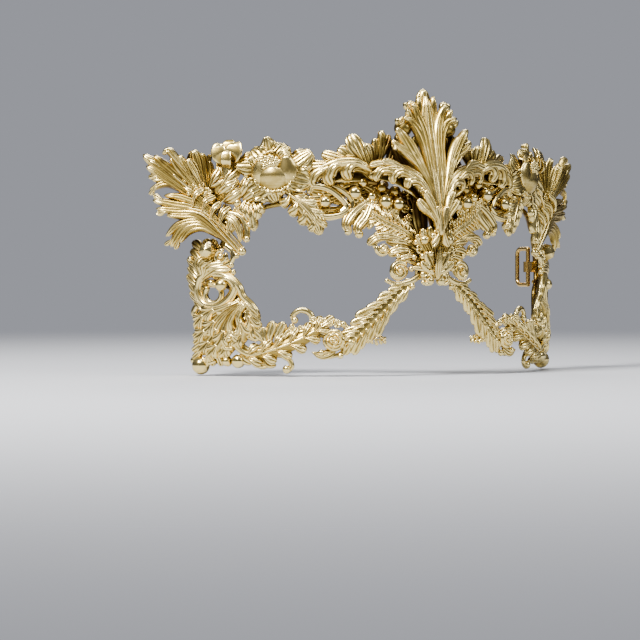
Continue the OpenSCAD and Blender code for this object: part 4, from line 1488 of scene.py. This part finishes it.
    def upper_leaf(self) -> Casting:
        """Makes the upper corner leaf with its splayed lobes, and the frilled leaf behind it.

        Returns:
            The casting.
        """
        c = Casting("corner_leaf_upper", "gilt_castings")
        g = self.flare
        foot = spot(-83.5, 40, 25.4)
        lobes = (
            ((-90.5, 44.4, 31.6), (-101.6, 49.8, 41.6), (-112.6, 57, 51.6), 5.4),
            ((-91.6, 44.8, 31.0), (-102.6, 50.4, 39.8), (-111.4, 56.2, 46.6), 4.4),
            ((-90.0, 44.0, 32.2), (-100.4, 49.0, 43.4), (-108.6, 54.2, 51.2), 4.0),
            ((-90.4, 44.4, 31.2), (-101.0, 50.2, 39.6), (-109.0, 55.6, 40.6), 4.2),
            ((-91.0, 44.8, 30.6), (-102.4, 51.2, 38.6), (-109.6, 56.4, 36.0), 3.6),
            ((-90.4, 44.6, 31.8), (-100.6, 49.8, 41.0), (-107.8, 54.2, 44.0), 3.6),
            ((-89.4, 43.4, 32.6), (-97.6, 46.6, 43.0), (-102.8, 49.6, 50.4), 4.6),
            ((-88.6, 43.0, 32.8), (-95.6, 45.4, 43.4), (-99.6, 47.0, 51.4), 4.6),
            ((-87.8, 42.6, 32.6), (-93.4, 44.4, 41.0), (-96.6, 45.6, 48.8), 4.0),
        )
        for via, bend, tip, w in lobes:
            c.add(strand([foot, spot(*via), spot(*bend), spot(*tip)], w, g, 0.5, cup=-0.7))
        for a, tip, w in (((-106, 52.6, 46), (-111.6, 56.4, 49.0), 2.6),
            ((-104.6, 52.2, 41.4), (-110.2, 56.6, 41.6), 2.6),
            ((-106.6, 53.8, 37.6), (-109.4, 57.0, 33.8), 2.4)):
            c.add(strand([spot(*a), (spot(*a) + spot(*tip)) / 2 + spot(0, -0.8, 0.6), spot(*tip)], w, g,
                    -0.5, flutes=1))
        c.add(strand([spot(-92.4, 44.2, 38.0), spot(-99.4, 46.4, 47.6), spot(-103.6, 48.8, 53.0),
                    spot(-105.8, 50.6, 51.4)], 3.8, g, 0.6))
        c.add(Rod([foot, spot(-93, 43.4, 34.0), spot(-102, 48.8, 43)], 1.0, 0.5, facing=g, along=50,
                around=10))
        for x0, x1, x2, z2, w in ((-88.6, -92.6, -96.4, 49.6, 5.0), (-88.0, -90.6, -93.4, 53.6, 6.0),
            (-87.2, -88.6, -89.6, 52.2, 5.4), (-86.4, -86.6, -85.8, 48.6, 4.6)):
            c.add(strand([spot(x0, 42.4, 34), spot(x1, 43.2, 42), spot(x2, 45.2, z2)], w, g, 1.0, flutes=3))
        for k in range(16):
            c.add(Ball(spot(-86.4 - 0.66 * k + 1.5 * math.sin(k * 2.4), 41.4 + 0.42 * k,
                        33.0 + 0.36 * k + 2.0 * math.cos(k * 2.4)), 1.0 + 0.3 * (k % 3), 12))
        for k in range(4):
            c.add(Blossom(spot(-88.6 - 2.4 * k, 42.0 + 1.5 * k, 34.6 + 1.7 * k + 1.4 * (k % 2)),
                    2.5 - 0.2 * (k % 2), g, 25.0 * k))
        return c

    def lower_leaf(self) -> Casting:
        """Makes the lower corner leaf: strands that run up the stem and part into a long blade and a drooping lobe.

        Returns:
            The casting.
        """
        c = Casting("corner_leaf_lower", "gilt_castings")
        g = self.flare
        foot = spot(-76.8, 32.0, 8.0)
        lobes = (
            ((-83.2, 36.6, 17.0), (-92.6, 43.2, 27.0), (-101.6, 49.4, 29.6), (-109.0, 54.8, 31.4), 4.6),
            ((-83.6, 36.9, 16.4), (-92.8, 43.4, 25.6), (-100.6, 49.0, 26.8), (-107.6, 54.2, 27.6), 4.2),
            ((-83.0, 36.4, 17.4), (-91.2, 42.2, 28.4), (-98.6, 47.4, 32.6), (-104.8, 51.8, 33.4), 4.0),
            ((-84.2, 37.4, 15.8), (-92.2, 43.2, 23.4), (-98.4, 47.8, 24.4), (-103.6, 51.8, 24.6), 3.8),
            ((-82.6, 36.2, 17.8), (-89.4, 41.0, 29.0), (-94.0, 44.4, 34.4), (-97.6, 47.0, 37.2), 3.8),
            ((-84.6, 37.6, 15.2), (-91.6, 42.8, 20.8), (-97.8, 47.6, 18.6), (-101.4, 51.8, 10.6), 4.8),
            ((-84.2, 37.2, 14.8), (-90.6, 42.2, 19.2), (-95.6, 46.4, 17.6), (-98.2, 49.6, 12.4), 4.0),
            ((-84.8, 37.8, 15.6), (-92.2, 43.2, 21.8), (-99.0, 48.6, 20.4), (-103.4, 52.6, 15.2), 4.0),
        )
        for via, bend, over, tip, w in lobes:
            c.add(strand([foot, spot(*via), spot(*bend), spot(*over), spot(*tip)], w, g, 0.4, cup=-0.7))
        for a, tip, w in (((-104, 51, 30), (-108.4, 54.6, 33.6), 2.6),
            ((-102.6, 50.6, 27), (-107.0, 54.2, 25.2), 2.6),
            ((-100.6, 50.4, 14.8), (-103.2, 53.4, 11.6), 2.4), ((-98, 49, 16), (-99.4, 51.4, 9.8), 2.4)):
            c.add(strand([spot(*a), (spot(*a) + spot(*tip)) / 2 + spot(0, -0.6, 0), spot(*tip)], w, g, 0.4,
                    flutes=1))
        for s in (-1.5, 0.0, 1.5):
            c.add(Rod([spot(-76.0 + 0.6 * s, 31.0, 8.2 + 0.6 * s),
                        spot(-82.6 + 0.8 * s, 34.8, 16.8 + 0.7 * s),
                        spot(-90.4 + 0.6 * s, 40.0, 25.6 + 0.6 * s), spot(-99, 46.6, 28.6 + 1.2 * s)], 0.62,
                        0.35, facing=g, along=70, around=10))
        c.add(Ball(spot(-76.4, 31.2, 8.6), 1.9, 20), Ball(spot(-78.6, 32.4, 6.8), 1.4, 16))
        for k, (x, z, dx, dz, w) in enumerate(((-79.4, 18.0, 1.6, 6.0, 4.0), (-82.2, 21.8, 2.6, 6.4, 4.4),
                (-85.6, 24.6, 2.2, 5.4, 3.8), (-88.6, 28.0, 3.4, 4.6, 4.2), (-92.4, 31.0, 2.4, 5.0, 3.6))):
            y = 35.0 + (-79.4 - x) * 0.6
            c.add(strand([spot(x - 2.4, y + 1.0, z - 3.0), spot(x - 1.4, y - 0.4, z + dz * 0.5),
                        spot(x + dx, y - 0.4, z + dz)], w, g, 0.8, flutes=2 + k % 2))
        for k in range(12):
            c.add(Ball(spot(-82 - 1.25 * k + 1.2 * math.sin(k * 2.4), 37.4 + 0.8 * k,
                        27.0 + 0.65 * k + 1.7 * math.cos(k * 2.4)), 0.95 + 0.25 * (k % 3), 12))
        return c



@dataclass
class FlowerGroup:
    """The peony, the cup flower and the hanging leaf and bud."""

    peony_at: tuple[float, float] = (-37.1, 43.7)

    def peony(self) -> Casting:
        """Makes the peony: ribbed outer petals, a smooth two-lobed cup and stamens.

        Returns:
            The casting.
        """
        c = Casting("peony", "gilt_castings")
        place = local(seat(*self.peony_at, 3.4), -37)
        petals = ((104, 15.6, 9.5), (62, 13.0, 9.0), (26, 18.6, 12.0), (-16, 17.4, 12.0), (-52, 13.4, 9.0),
            (-86, 13.6, 10.0), (-118, 13.2, 9.0), (-143, 16.0, 11.5), (170, 17.2, 12.0), (136, 14.4, 10.0))
        for k, (angle, reach, width) in enumerate(petals):
            a = math.radians(angle)
            u, v = math.cos(a), math.sin(a)
            low = 0.2 + 0.9 * (k % 2)
            bend = 1.6 * math.sin(2.1 * k)
            c.add(Blade([place(u * 3.5, v * 3.5, low),
                        place(u * reach * 0.55 - v * bend, v * reach * 0.55 + u * bend, low + 2.4),
                        place(u * reach, v * reach, low + 0.6)], width,
                        Outline.PETAL if k else Outline.FINGER, 5 + k % 3, 0.27, 1.7,
                        cup=-1.6 + 2.6 * (k % 2), curl=1.2 - 2.0 * (k % 2), ruffle=0.8, ruffles=3,
                        facing=-37, along=46, front=40))
        for k, angle in enumerate((110, 150, 40, -10, -60, -100, -150)):
            a = math.radians(angle)
            u, v = math.cos(a), math.sin(a)
            c.add(Blade([place(u * 3, v * 3, 2.0), place(u * 7.0, v * 7.0, 3.6),
                        place(u * 10.0, v * 9.4, 4.2)], 8.4, Outline.PETAL, 5, 0.24, 1.4, cup=0.6, curl=0.9,
                        ruffle=0.5, facing=-37, along=36, front=32))
        c.add(Blade([place(0, -9.0, 1.8), place(0, -6.4, 5.4), place(0, -2.0, 7.3), place(0, 2.2, 6.4)],
                17.4, Outline.PETAL, 0, 0, 1.6, cup=-2.6, facing=-37, along=60, front=40))
        for s, top, wide in ((-1, 4.6, 9.6), (1, 6.8, 10.6)):
            c.add(Blade([place(s * 2.4, -6.6, 3.2), place(s * 4.6, -2.8, 5.75), place(s * 5.5, 1.4, 6.2),
                        place(s * 5.6, top, 5.4)], wide, Outline.PETAL, 0, 0, 1.5, cup=-1.9, curl=0.5,
                        facing=-37, along=60, front=34))
        for s, top in ((-1, 4.4), (1, 6.6)):
            c.add(Blade([place(s * 1.2, 2.0, 3.0), place(s * 4.6, top + 0.8, 4.6),
                        place(s * 7.4, top + 0.6, 4.0)], 5.0, Outline.PETAL, 5, 0.3, 1.3, cup=0.6, curl=0.6,
                        facing=-37, along=36, front=24))
        for k in range(22):
            a = k * 2.4
            r = 0.55 * math.sqrt(k) + 0.2
            c.add(Ball(place(-1.2 + r * math.cos(a) * 1.5, 4.0 + r * math.sin(a), 7.2 - 0.25 * r),
                    0.9 + 0.2 * (k % 3), 12))
        for k in range(10):
            a = math.radians(-115 + 13 * k)
            c.add(Ball(place(9.8 * math.cos(a), 9.6 * math.sin(a), 3.6 + 0.3 * (k % 2)),
                    1.2 - 0.1 * (k % 3), 14))
        c.add(Ball(place(0, 0, -0.4), 4.4, 24))
        return c

    def cup_flower(self) -> Casting:
        """Makes the cup flower, its calyx and stem, the hollow petal and the leaf behind.

        Returns:
            The casting.
        """
        c = Casting("cup_flower", "gilt_castings")
        place = local(seat(-47.9, 51.6, 5.0), -48)
        for u, v, w, r in ((-3.3, 0.4, 0.6, 7.4), (3.3, 0.8, 1.2, 8.0), (0.2, 2.0, -1.2, 6.6),
            (0.4, -2.6, 2.2, 5.0)):
            c.add(Blade([place(u * 0.3, v - 3.6, w - 0.8), place(u, v - 0.8, w + 2.2),
                        place(u * 1.2, v + 2.2, w + 1.8), place(u * 1.15, v + 3.6, w + 0.4)], r,
                        Outline.PETAL, 0, 0, 1.6, cup=1.0, curl=0.7, facing=-48, along=44, front=30))
        for s in (-1, 1):
            c.add(Rod([place(s * 3.3 + 3.2 * math.cos(a), 1.0 + 2.9 * math.sin(a),
                            3.1 + 0.2 * s) for a in np.linspace(-0.6 if s > 0 else 1.0,
                            2.6 if s > 0 else 4.0, 14)], 0.7, 0.7, facing=-48, along=46, around=10))
        c.add(Ball(place(0, 0.8, 1.6), 2.0, 18), Ball(place(-5.4, 0.4, 0.4), 2.4, 20))
        for k in range(-2, 3):
            c.add(Blade([seat(-48.6 + 0.2 * k, 37.6, 4.2), seat(-48.6 + 0.9 * k, 43, 6.0 - 0.3 * abs(k)),
                        seat(-48.6 + 1.45 * k, 49.6, 5.0 - 0.4 * abs(k))], 3.2, Outline.FINGER, 2, 0.4, 1.5,
                        curl=-0.8, along=40, front=18))
        c.add(Rod([seat(-48.6, 38, 3.6), seat(-48.6, 44, 4.2), seat(-48.8, 50, 4.0)], 3.0, 3.6, along=40,
                around=20))
        c.add(Blade([seat(-55.6, 33.0, 2.8), seat(-52.4, 32.6, 4.4), seat(-49.2, 36.4, 5.4),
                    seat(-46.2, 42.8, 4.6)], 9.4, Outline.SPEAR, 3, 0.35, 1.7, cup=3.0, along=64, front=32))
        for a, b, d, w in (((-46.0, 40.0, 4.4), (-48.6, 37.6, 7.0), (-51.4, 33.8, 5.0), 8.0),
            ((-45.0, 36.6, 4.0), (-47.4, 33.6, 6.4), (-50.4, 30.6, 4.2), 7.0)):
            c.add(Blade([seat(*a), seat(*b), seat(*d)], w, Outline.PETAL, 4, 0.4, 1.9, cup=-1.8, along=44,
                    front=32))
        for a, b, d, w in (((-53.6, 34.0, 4.0), (-52.4, 39.0, 6.4), (-50.4, 45.4, 5.6), 6.8),
            ((-51.0, 35.0, 4.4), (-48.8, 40.0, 6.6), (-45.8, 46.4, 5.0), 6.4),
            ((-54.6, 36.0, 3.4), (-55.0, 42.0, 5.0), (-53.4, 47.8, 4.6), 6.0)):
            c.add(strand([seat(*a), seat(*b), seat(*d)], w, None, -1.0, flutes=3, cup=-1.0))
        c.add(Blade([seat(-56.2, 35.6, 2.6), seat(-53.0, 37.8, 3.4), seat(-49.8, 43.4, 3.6)], 6.6,
                Outline.FINGER, 4, 0.45, 1.6, cup=1.6, along=50, front=26))
        for x, w in ((0.0, 6.6), (1.9, 5.4)):
            c.add(Blade([seat(-56.2 + x, 31, 2.4), seat(-58.6 + x, 40, 3.6), seat(-59.4 + x, 47, 3.2),
                        seat(-58.6 + x, 53.6 - x, 2.4)], w, Outline.FINGER, 4, 0.6, 1.8, cup=-1.4, curl=0.8,
                        lobes=4, notch=0.16, along=70, front=30))
        c.add(Blade([seat(-54.6, 40, 3.0), seat(-54.8, 46.4, 3.6), seat(-53.2, 51.6, 3.0)], 4.6,
                Outline.FINGER, 4, 0.45, 1.5, curl=0.8, along=44, front=24))
        for k in range(12):
            a = k * 2.4
            c.add(Ball(seat(-54.8 + 0.55 * math.sqrt(k) * math.cos(a) * 1.6,
                        31.6 + 0.9 * math.sqrt(k) * math.sin(a) * 1.4, 4.0), 1.0 + 0.2 * (k % 2), 12))
        for k in range(5):
            c.add(Blossom(seat(-57.4 + 2.6 * k, 28.6 - 0.5 * k, 3.6), 2.1, -52, 23.0 * k))
        return c

    def hanging(self) -> Casting:
        """Makes the hanging lobed leaf, the hanging bud and the ribbed petals beside them.

        Returns:
            The casting.
        """
        c = Casting("hanging_leaf", "gilt_castings")
        run = [seat(-34.2, 34.6, 3.4), seat(-30.8, 28.8, 5.0), seat(-28.4, 22.6, 5.0),
            seat(-27.2, 15.8, 3.2)]
        c.add(Blade(run, 10.4, Outline.FINGER, 6, 0.3, 2.0, cup=-1.4, curl=0.6, root=0.5, ruffle=0.5,
                along=70, front=44))
        for t, phi, z, w in ((0.04, -36.6, 29.6, 5.4), (0.22, -34.6, 25.2, 5.8), (0.42, -32.4, 21.0, 5.4),
            (0.62, -30.0, 18.0, 4.4), (0.02, -29.6, 33.4, 5.2), (0.2, -26.6, 29.8, 5.6),
            (0.4, -25.4, 24.8, 5.4), (0.6, -25.4, 20.0, 4.2)):
            at, tangent, out, _ = (a[0] for a in Spine(run).sample(np.array([t])))
            c.add(strand([at - out * 0.4, (at + seat(phi, z, 3.4)) / 2 + tangent * 1.8 + out * 1.0,
                        seat(phi, z, 3.2)], w, None, -0.7, flutes=2, cup=-1.0))
        c.add(Rod([seat(-34.2, 34.2, 4.8), seat(-30.8, 28.8, 6.2), seat(-28.4, 22.6, 6.2),
                    seat(-27.3, 17.4, 4.4)], 0.9, 0.4, along=50, around=10))
        for phi, z, tip, w in ((-44.6, 27.6, 22.4, 4.2), (-42.0, 27.8, 22.8, 4.2), (-43.3, 26.8, 17.8, 4.8),
            (-45.6, 28.8, 25.4, 3.8), (-41.0, 29.2, 26.0, 3.8)):
            c.add(strand([seat(phi * 0.4 - 26.0, z + 3.4, 3.2), seat(phi, z - 1.6, 5.0),
                        seat(phi * 0.7 - 13.0, tip, 3.4)], w, None, 0.6, flutes=2, cup=-0.8))
        for phi, z, tip_phi, tip_z, w in ((-46.2, 32.4, -43.6, 41.4, 8.0), (-45.4, 31.0, -41.4, 36.6, 7.0)):
            c.add(Blade([seat(phi, z, 3.0), seat((phi + tip_phi) / 2 + 0.4, (z + tip_z) / 2, 5.6),
                        seat(tip_phi, tip_z, 4.0)], w, Outline.PETAL, 4, 0.5, 2.0, cup=-1.8, along=44,
                        front=34))
        c.add(Ball(seat(-43.2, 18.6, 3.6), 1.2, 14), Ball(seat(-46.8, 30.0, 4.4), 1.9, 16),
            Ball(seat(-40.4, 31.0, 4.2), 1.5, 14))
        return c



@dataclass
class StrapFittings:
    """The lugs and ribbon rings, which keep their turned shapes."""

    nodes: tuple[str, ...] = ("strap_lug_right", "strap_lug_left", "strap_ring_right", "strap_ring_left")

    def dress(self, finish: bpy.types.Material) -> None:
        """Gives the fittings their finish.

        Args:
            finish: The material.
        """
        for name in self.nodes:
            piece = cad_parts[name]
            piece.data.materials.clear()
            piece.data.materials.append(finish)
            LOG.info("%s: dressed", name)


@dataclass
class Studio:
    """Pale floor, soft lamps and the camera."""

    distance: float = 1.2
    azimuth: float = -28.0
    elevation: float = 1.0
    lens: float = 151.9
    floor_level: float = CAD_LOW[2] - 0.0004

    def directions(self) -> tuple[Vector, Vector, Vector]:
        """Gives the camera's right, up and back directions.

        Returns:
            Unit vectors to the right, up and back.
        """
        a, e = math.radians(self.azimuth), math.radians(self.elevation)
        back = Vector((math.sin(a) * math.cos(e), -math.cos(a) * math.cos(e), math.sin(e)))
        right = Vector((math.cos(a), math.sin(a), 0))
        return right, back.cross(right), back

    def camera(self) -> None:
        """Makes the camera."""
        right, up, back = self.directions()
        data = bpy.data.cameras.new("camera")
        data.lens = self.lens
        data.sensor_width = 36.0
        data.clip_start, data.clip_end = 0.05, 30.0
        view = bpy.data.objects.new("camera", data)
        view.location = right * -0.0477 + up * -0.0218 + back * self.distance
        view.rotation_mode = "QUATERNION"
        view.rotation_quaternion = (-back).to_track_quat("-Z", "Y")
        bpy.context.scene.collection.objects.link(view)
        bpy.context.scene.camera = view

    def lamp(self, name: str, azimuth: float, elevation: float, reach: float, size: float, power: float,
        tint: tuple[float, float, float]) -> None:
        """Makes a soft square lamp aimed at the mask.

        Args:
            name: Its name.
            azimuth: Where it stands round the mask, in degrees.
            elevation: Its height above the horizon, in degrees.
            reach: Its distance in metres.
            size: Its width in metres.
            power: Its power in watts.
            tint: Its colour.
        """
        a, e = math.radians(azimuth), math.radians(elevation)
        back = Vector((math.sin(a) * math.cos(e), -math.cos(a) * math.cos(e), math.sin(e)))
        data = bpy.data.lights.new(name, "AREA")
        data.shape = "SQUARE"
        data.size, data.energy, data.color = size, power, tint
        lamp = bpy.data.objects.new(name, data)
        lamp.location = Vector((0, 0.03, 0.02)) + back * reach
        lamp.rotation_mode = "QUATERNION"
        lamp.rotation_quaternion = (-back).to_track_quat("-Z", "Y")
        bpy.context.scene.collection.objects.link(lamp)

    def lamps(self) -> None:
        """Makes the lamps and the surroundings."""
        self.lamp("key_lamp", -66, 46, 0.9, 0.20, 25, (1.0, 0.98, 0.95))
        self.lamp("fill_lamp", 34, 30, 1.1, 0.26, 3.8, (0.95, 0.97, 1.0))
        self.lamp("top_lamp", -10, 76, 0.8, 0.30, 5, (1.0, 1.0, 1.0))
        self.lamp("rim_lamp", 150, 35, 1.0, 0.3, 4, (1.0, 0.98, 0.95))
        world = bpy.data.worlds.new("surroundings")
        world.use_nodes = True
        nodes, links = world.node_tree.nodes, world.node_tree.links
        sky = nodes["Background"]
        sky.inputs["Color"].default_value = (0.33, 0.34, 0.38, 1)
        sky.inputs["Strength"].default_value = 1.0
        place = nodes.new("ShaderNodeTexCoord")
        split = nodes.new("ShaderNodeSeparateXYZ")
        links.new(place.outputs["Generated"], split.inputs[0])
        ramp = nodes.new("ShaderNodeValToRGB")
        stops = ramp.color_ramp.elements
        stops[0].position, stops[0].color = 0.45, (0.014, 0.014, 0.016, 1)
        stops[1].position, stops[1].color = 0.85, (0.22, 0.225, 0.24, 1)
        level = nodes.new("ShaderNodeMapRange")
        level.inputs["From Min"].default_value = -1.0
        links.new(split.outputs["Z"], level.inputs["Value"])
        links.new(level.outputs["Result"], ramp.inputs["Fac"])
        soft = nodes.new("ShaderNodeBackground")
        links.new(ramp.outputs["Color"], soft.inputs["Color"])
        seen = nodes.new("ShaderNodeLightPath")
        mix = nodes.new("ShaderNodeMixShader")
        links.new(seen.outputs["Is Camera Ray"], mix.inputs["Fac"])
        links.new(soft.outputs["Background"], mix.inputs[1])
        links.new(sky.outputs["Background"], mix.inputs[2])
        links.new(mix.outputs["Shader"], nodes["World Output"].inputs["Surface"])
        bpy.context.scene.world = world

    def floor(self) -> None:
        """Makes the pale floor."""
        bm = bmesh.new()
        bmesh.ops.create_circle(bm, cap_ends=True, segments=96, radius=1.2)
        bmesh.ops.translate(bm, vec=(0, 0, self.floor_level), verts=bm.verts)
        mesh = bpy.data.meshes.new("floor")
        bm.to_mesh(mesh)
        bm.free()
        mesh.materials.append(Backdrop().make())
        floor = bpy.data.objects.new("floor", mesh)
        bpy.context.scene.collection.objects.link(floor)


def main() -> None:
    """Builds the mask and the studio."""
    logging.basicConfig(level=logging.INFO, format="%(message)s")
    studio = Studio()
    studio.camera()
    studio.lamps()
    studio.floor()
    # Each gilt finish paints shade into hollows and highlights onto ridges; the bead finish's are a little lighter.
    cast = Gilt("gilt_cast").make()
    bright = Gilt("gilt_bright", hollow_shade_colour=(0.11, 0.055, 0.012), middle=(0.52, 0.365, 0.090),
        ridge_highlight_colour=(0.96, 0.77, 0.31), smooth=0.14, rough=0.28, grain=0.12).make()
    wire = Gilt("gilt_wire", smooth=0.28, rough=0.4, grain=0.2).make()
    finishes = {"gilt_castings": cast, "gilt_beads": bright, "gilt_wire": wire}
    wires, plume, bridge, brow = FrameWires(), PlumeGroup(), BridgeGroup(), BrowGroup()
    nose, cheek, corner, temple, flowers = NoseGroup(), CheekGroup(), CornerGroup(), TempleGroup(
        ), FlowerGroup()
    castings = wires.castings() + [
        plume.plume(), plume.blades(), bridge.shell(), bridge.rosette(),
        brow.star(), brow.scroll(), brow.blossoms(), brow.frond(), brow.droop(), brow.curls(),
        nose.feather(), nose.rose(), cheek.leaf(), cheek.curls(),
        corner.acanthus(), corner.knob(), corner.volute(),
        temple.frond(), temple.cut_bead(), temple.spiral_ribbon(), temple.upper_leaf(), temple.lower_leaf(),
        flowers.peony(), flowers.cup_flower(), flowers.hanging(),
    ]
    for casting in castings:
        casting.finish(finishes[casting.slot])
    wires.pad(wire)
    # Paints shade into the gaps between castings.
    GAP_SHADE.paint_gap_shade()
    # The fittings' hollow shade colour equals their base colour, so no shade is painted in their hollows.
    StrapFittings().dress(Gilt("gilt_fitting", hollow_shade_colour=(0.62, 0.41, 0.12), middle=(0.62, 0.41, 0.12),
            smooth=0.26, rough=0.26, grain=0.1).make())


if __name__ == "__main__":
    main()
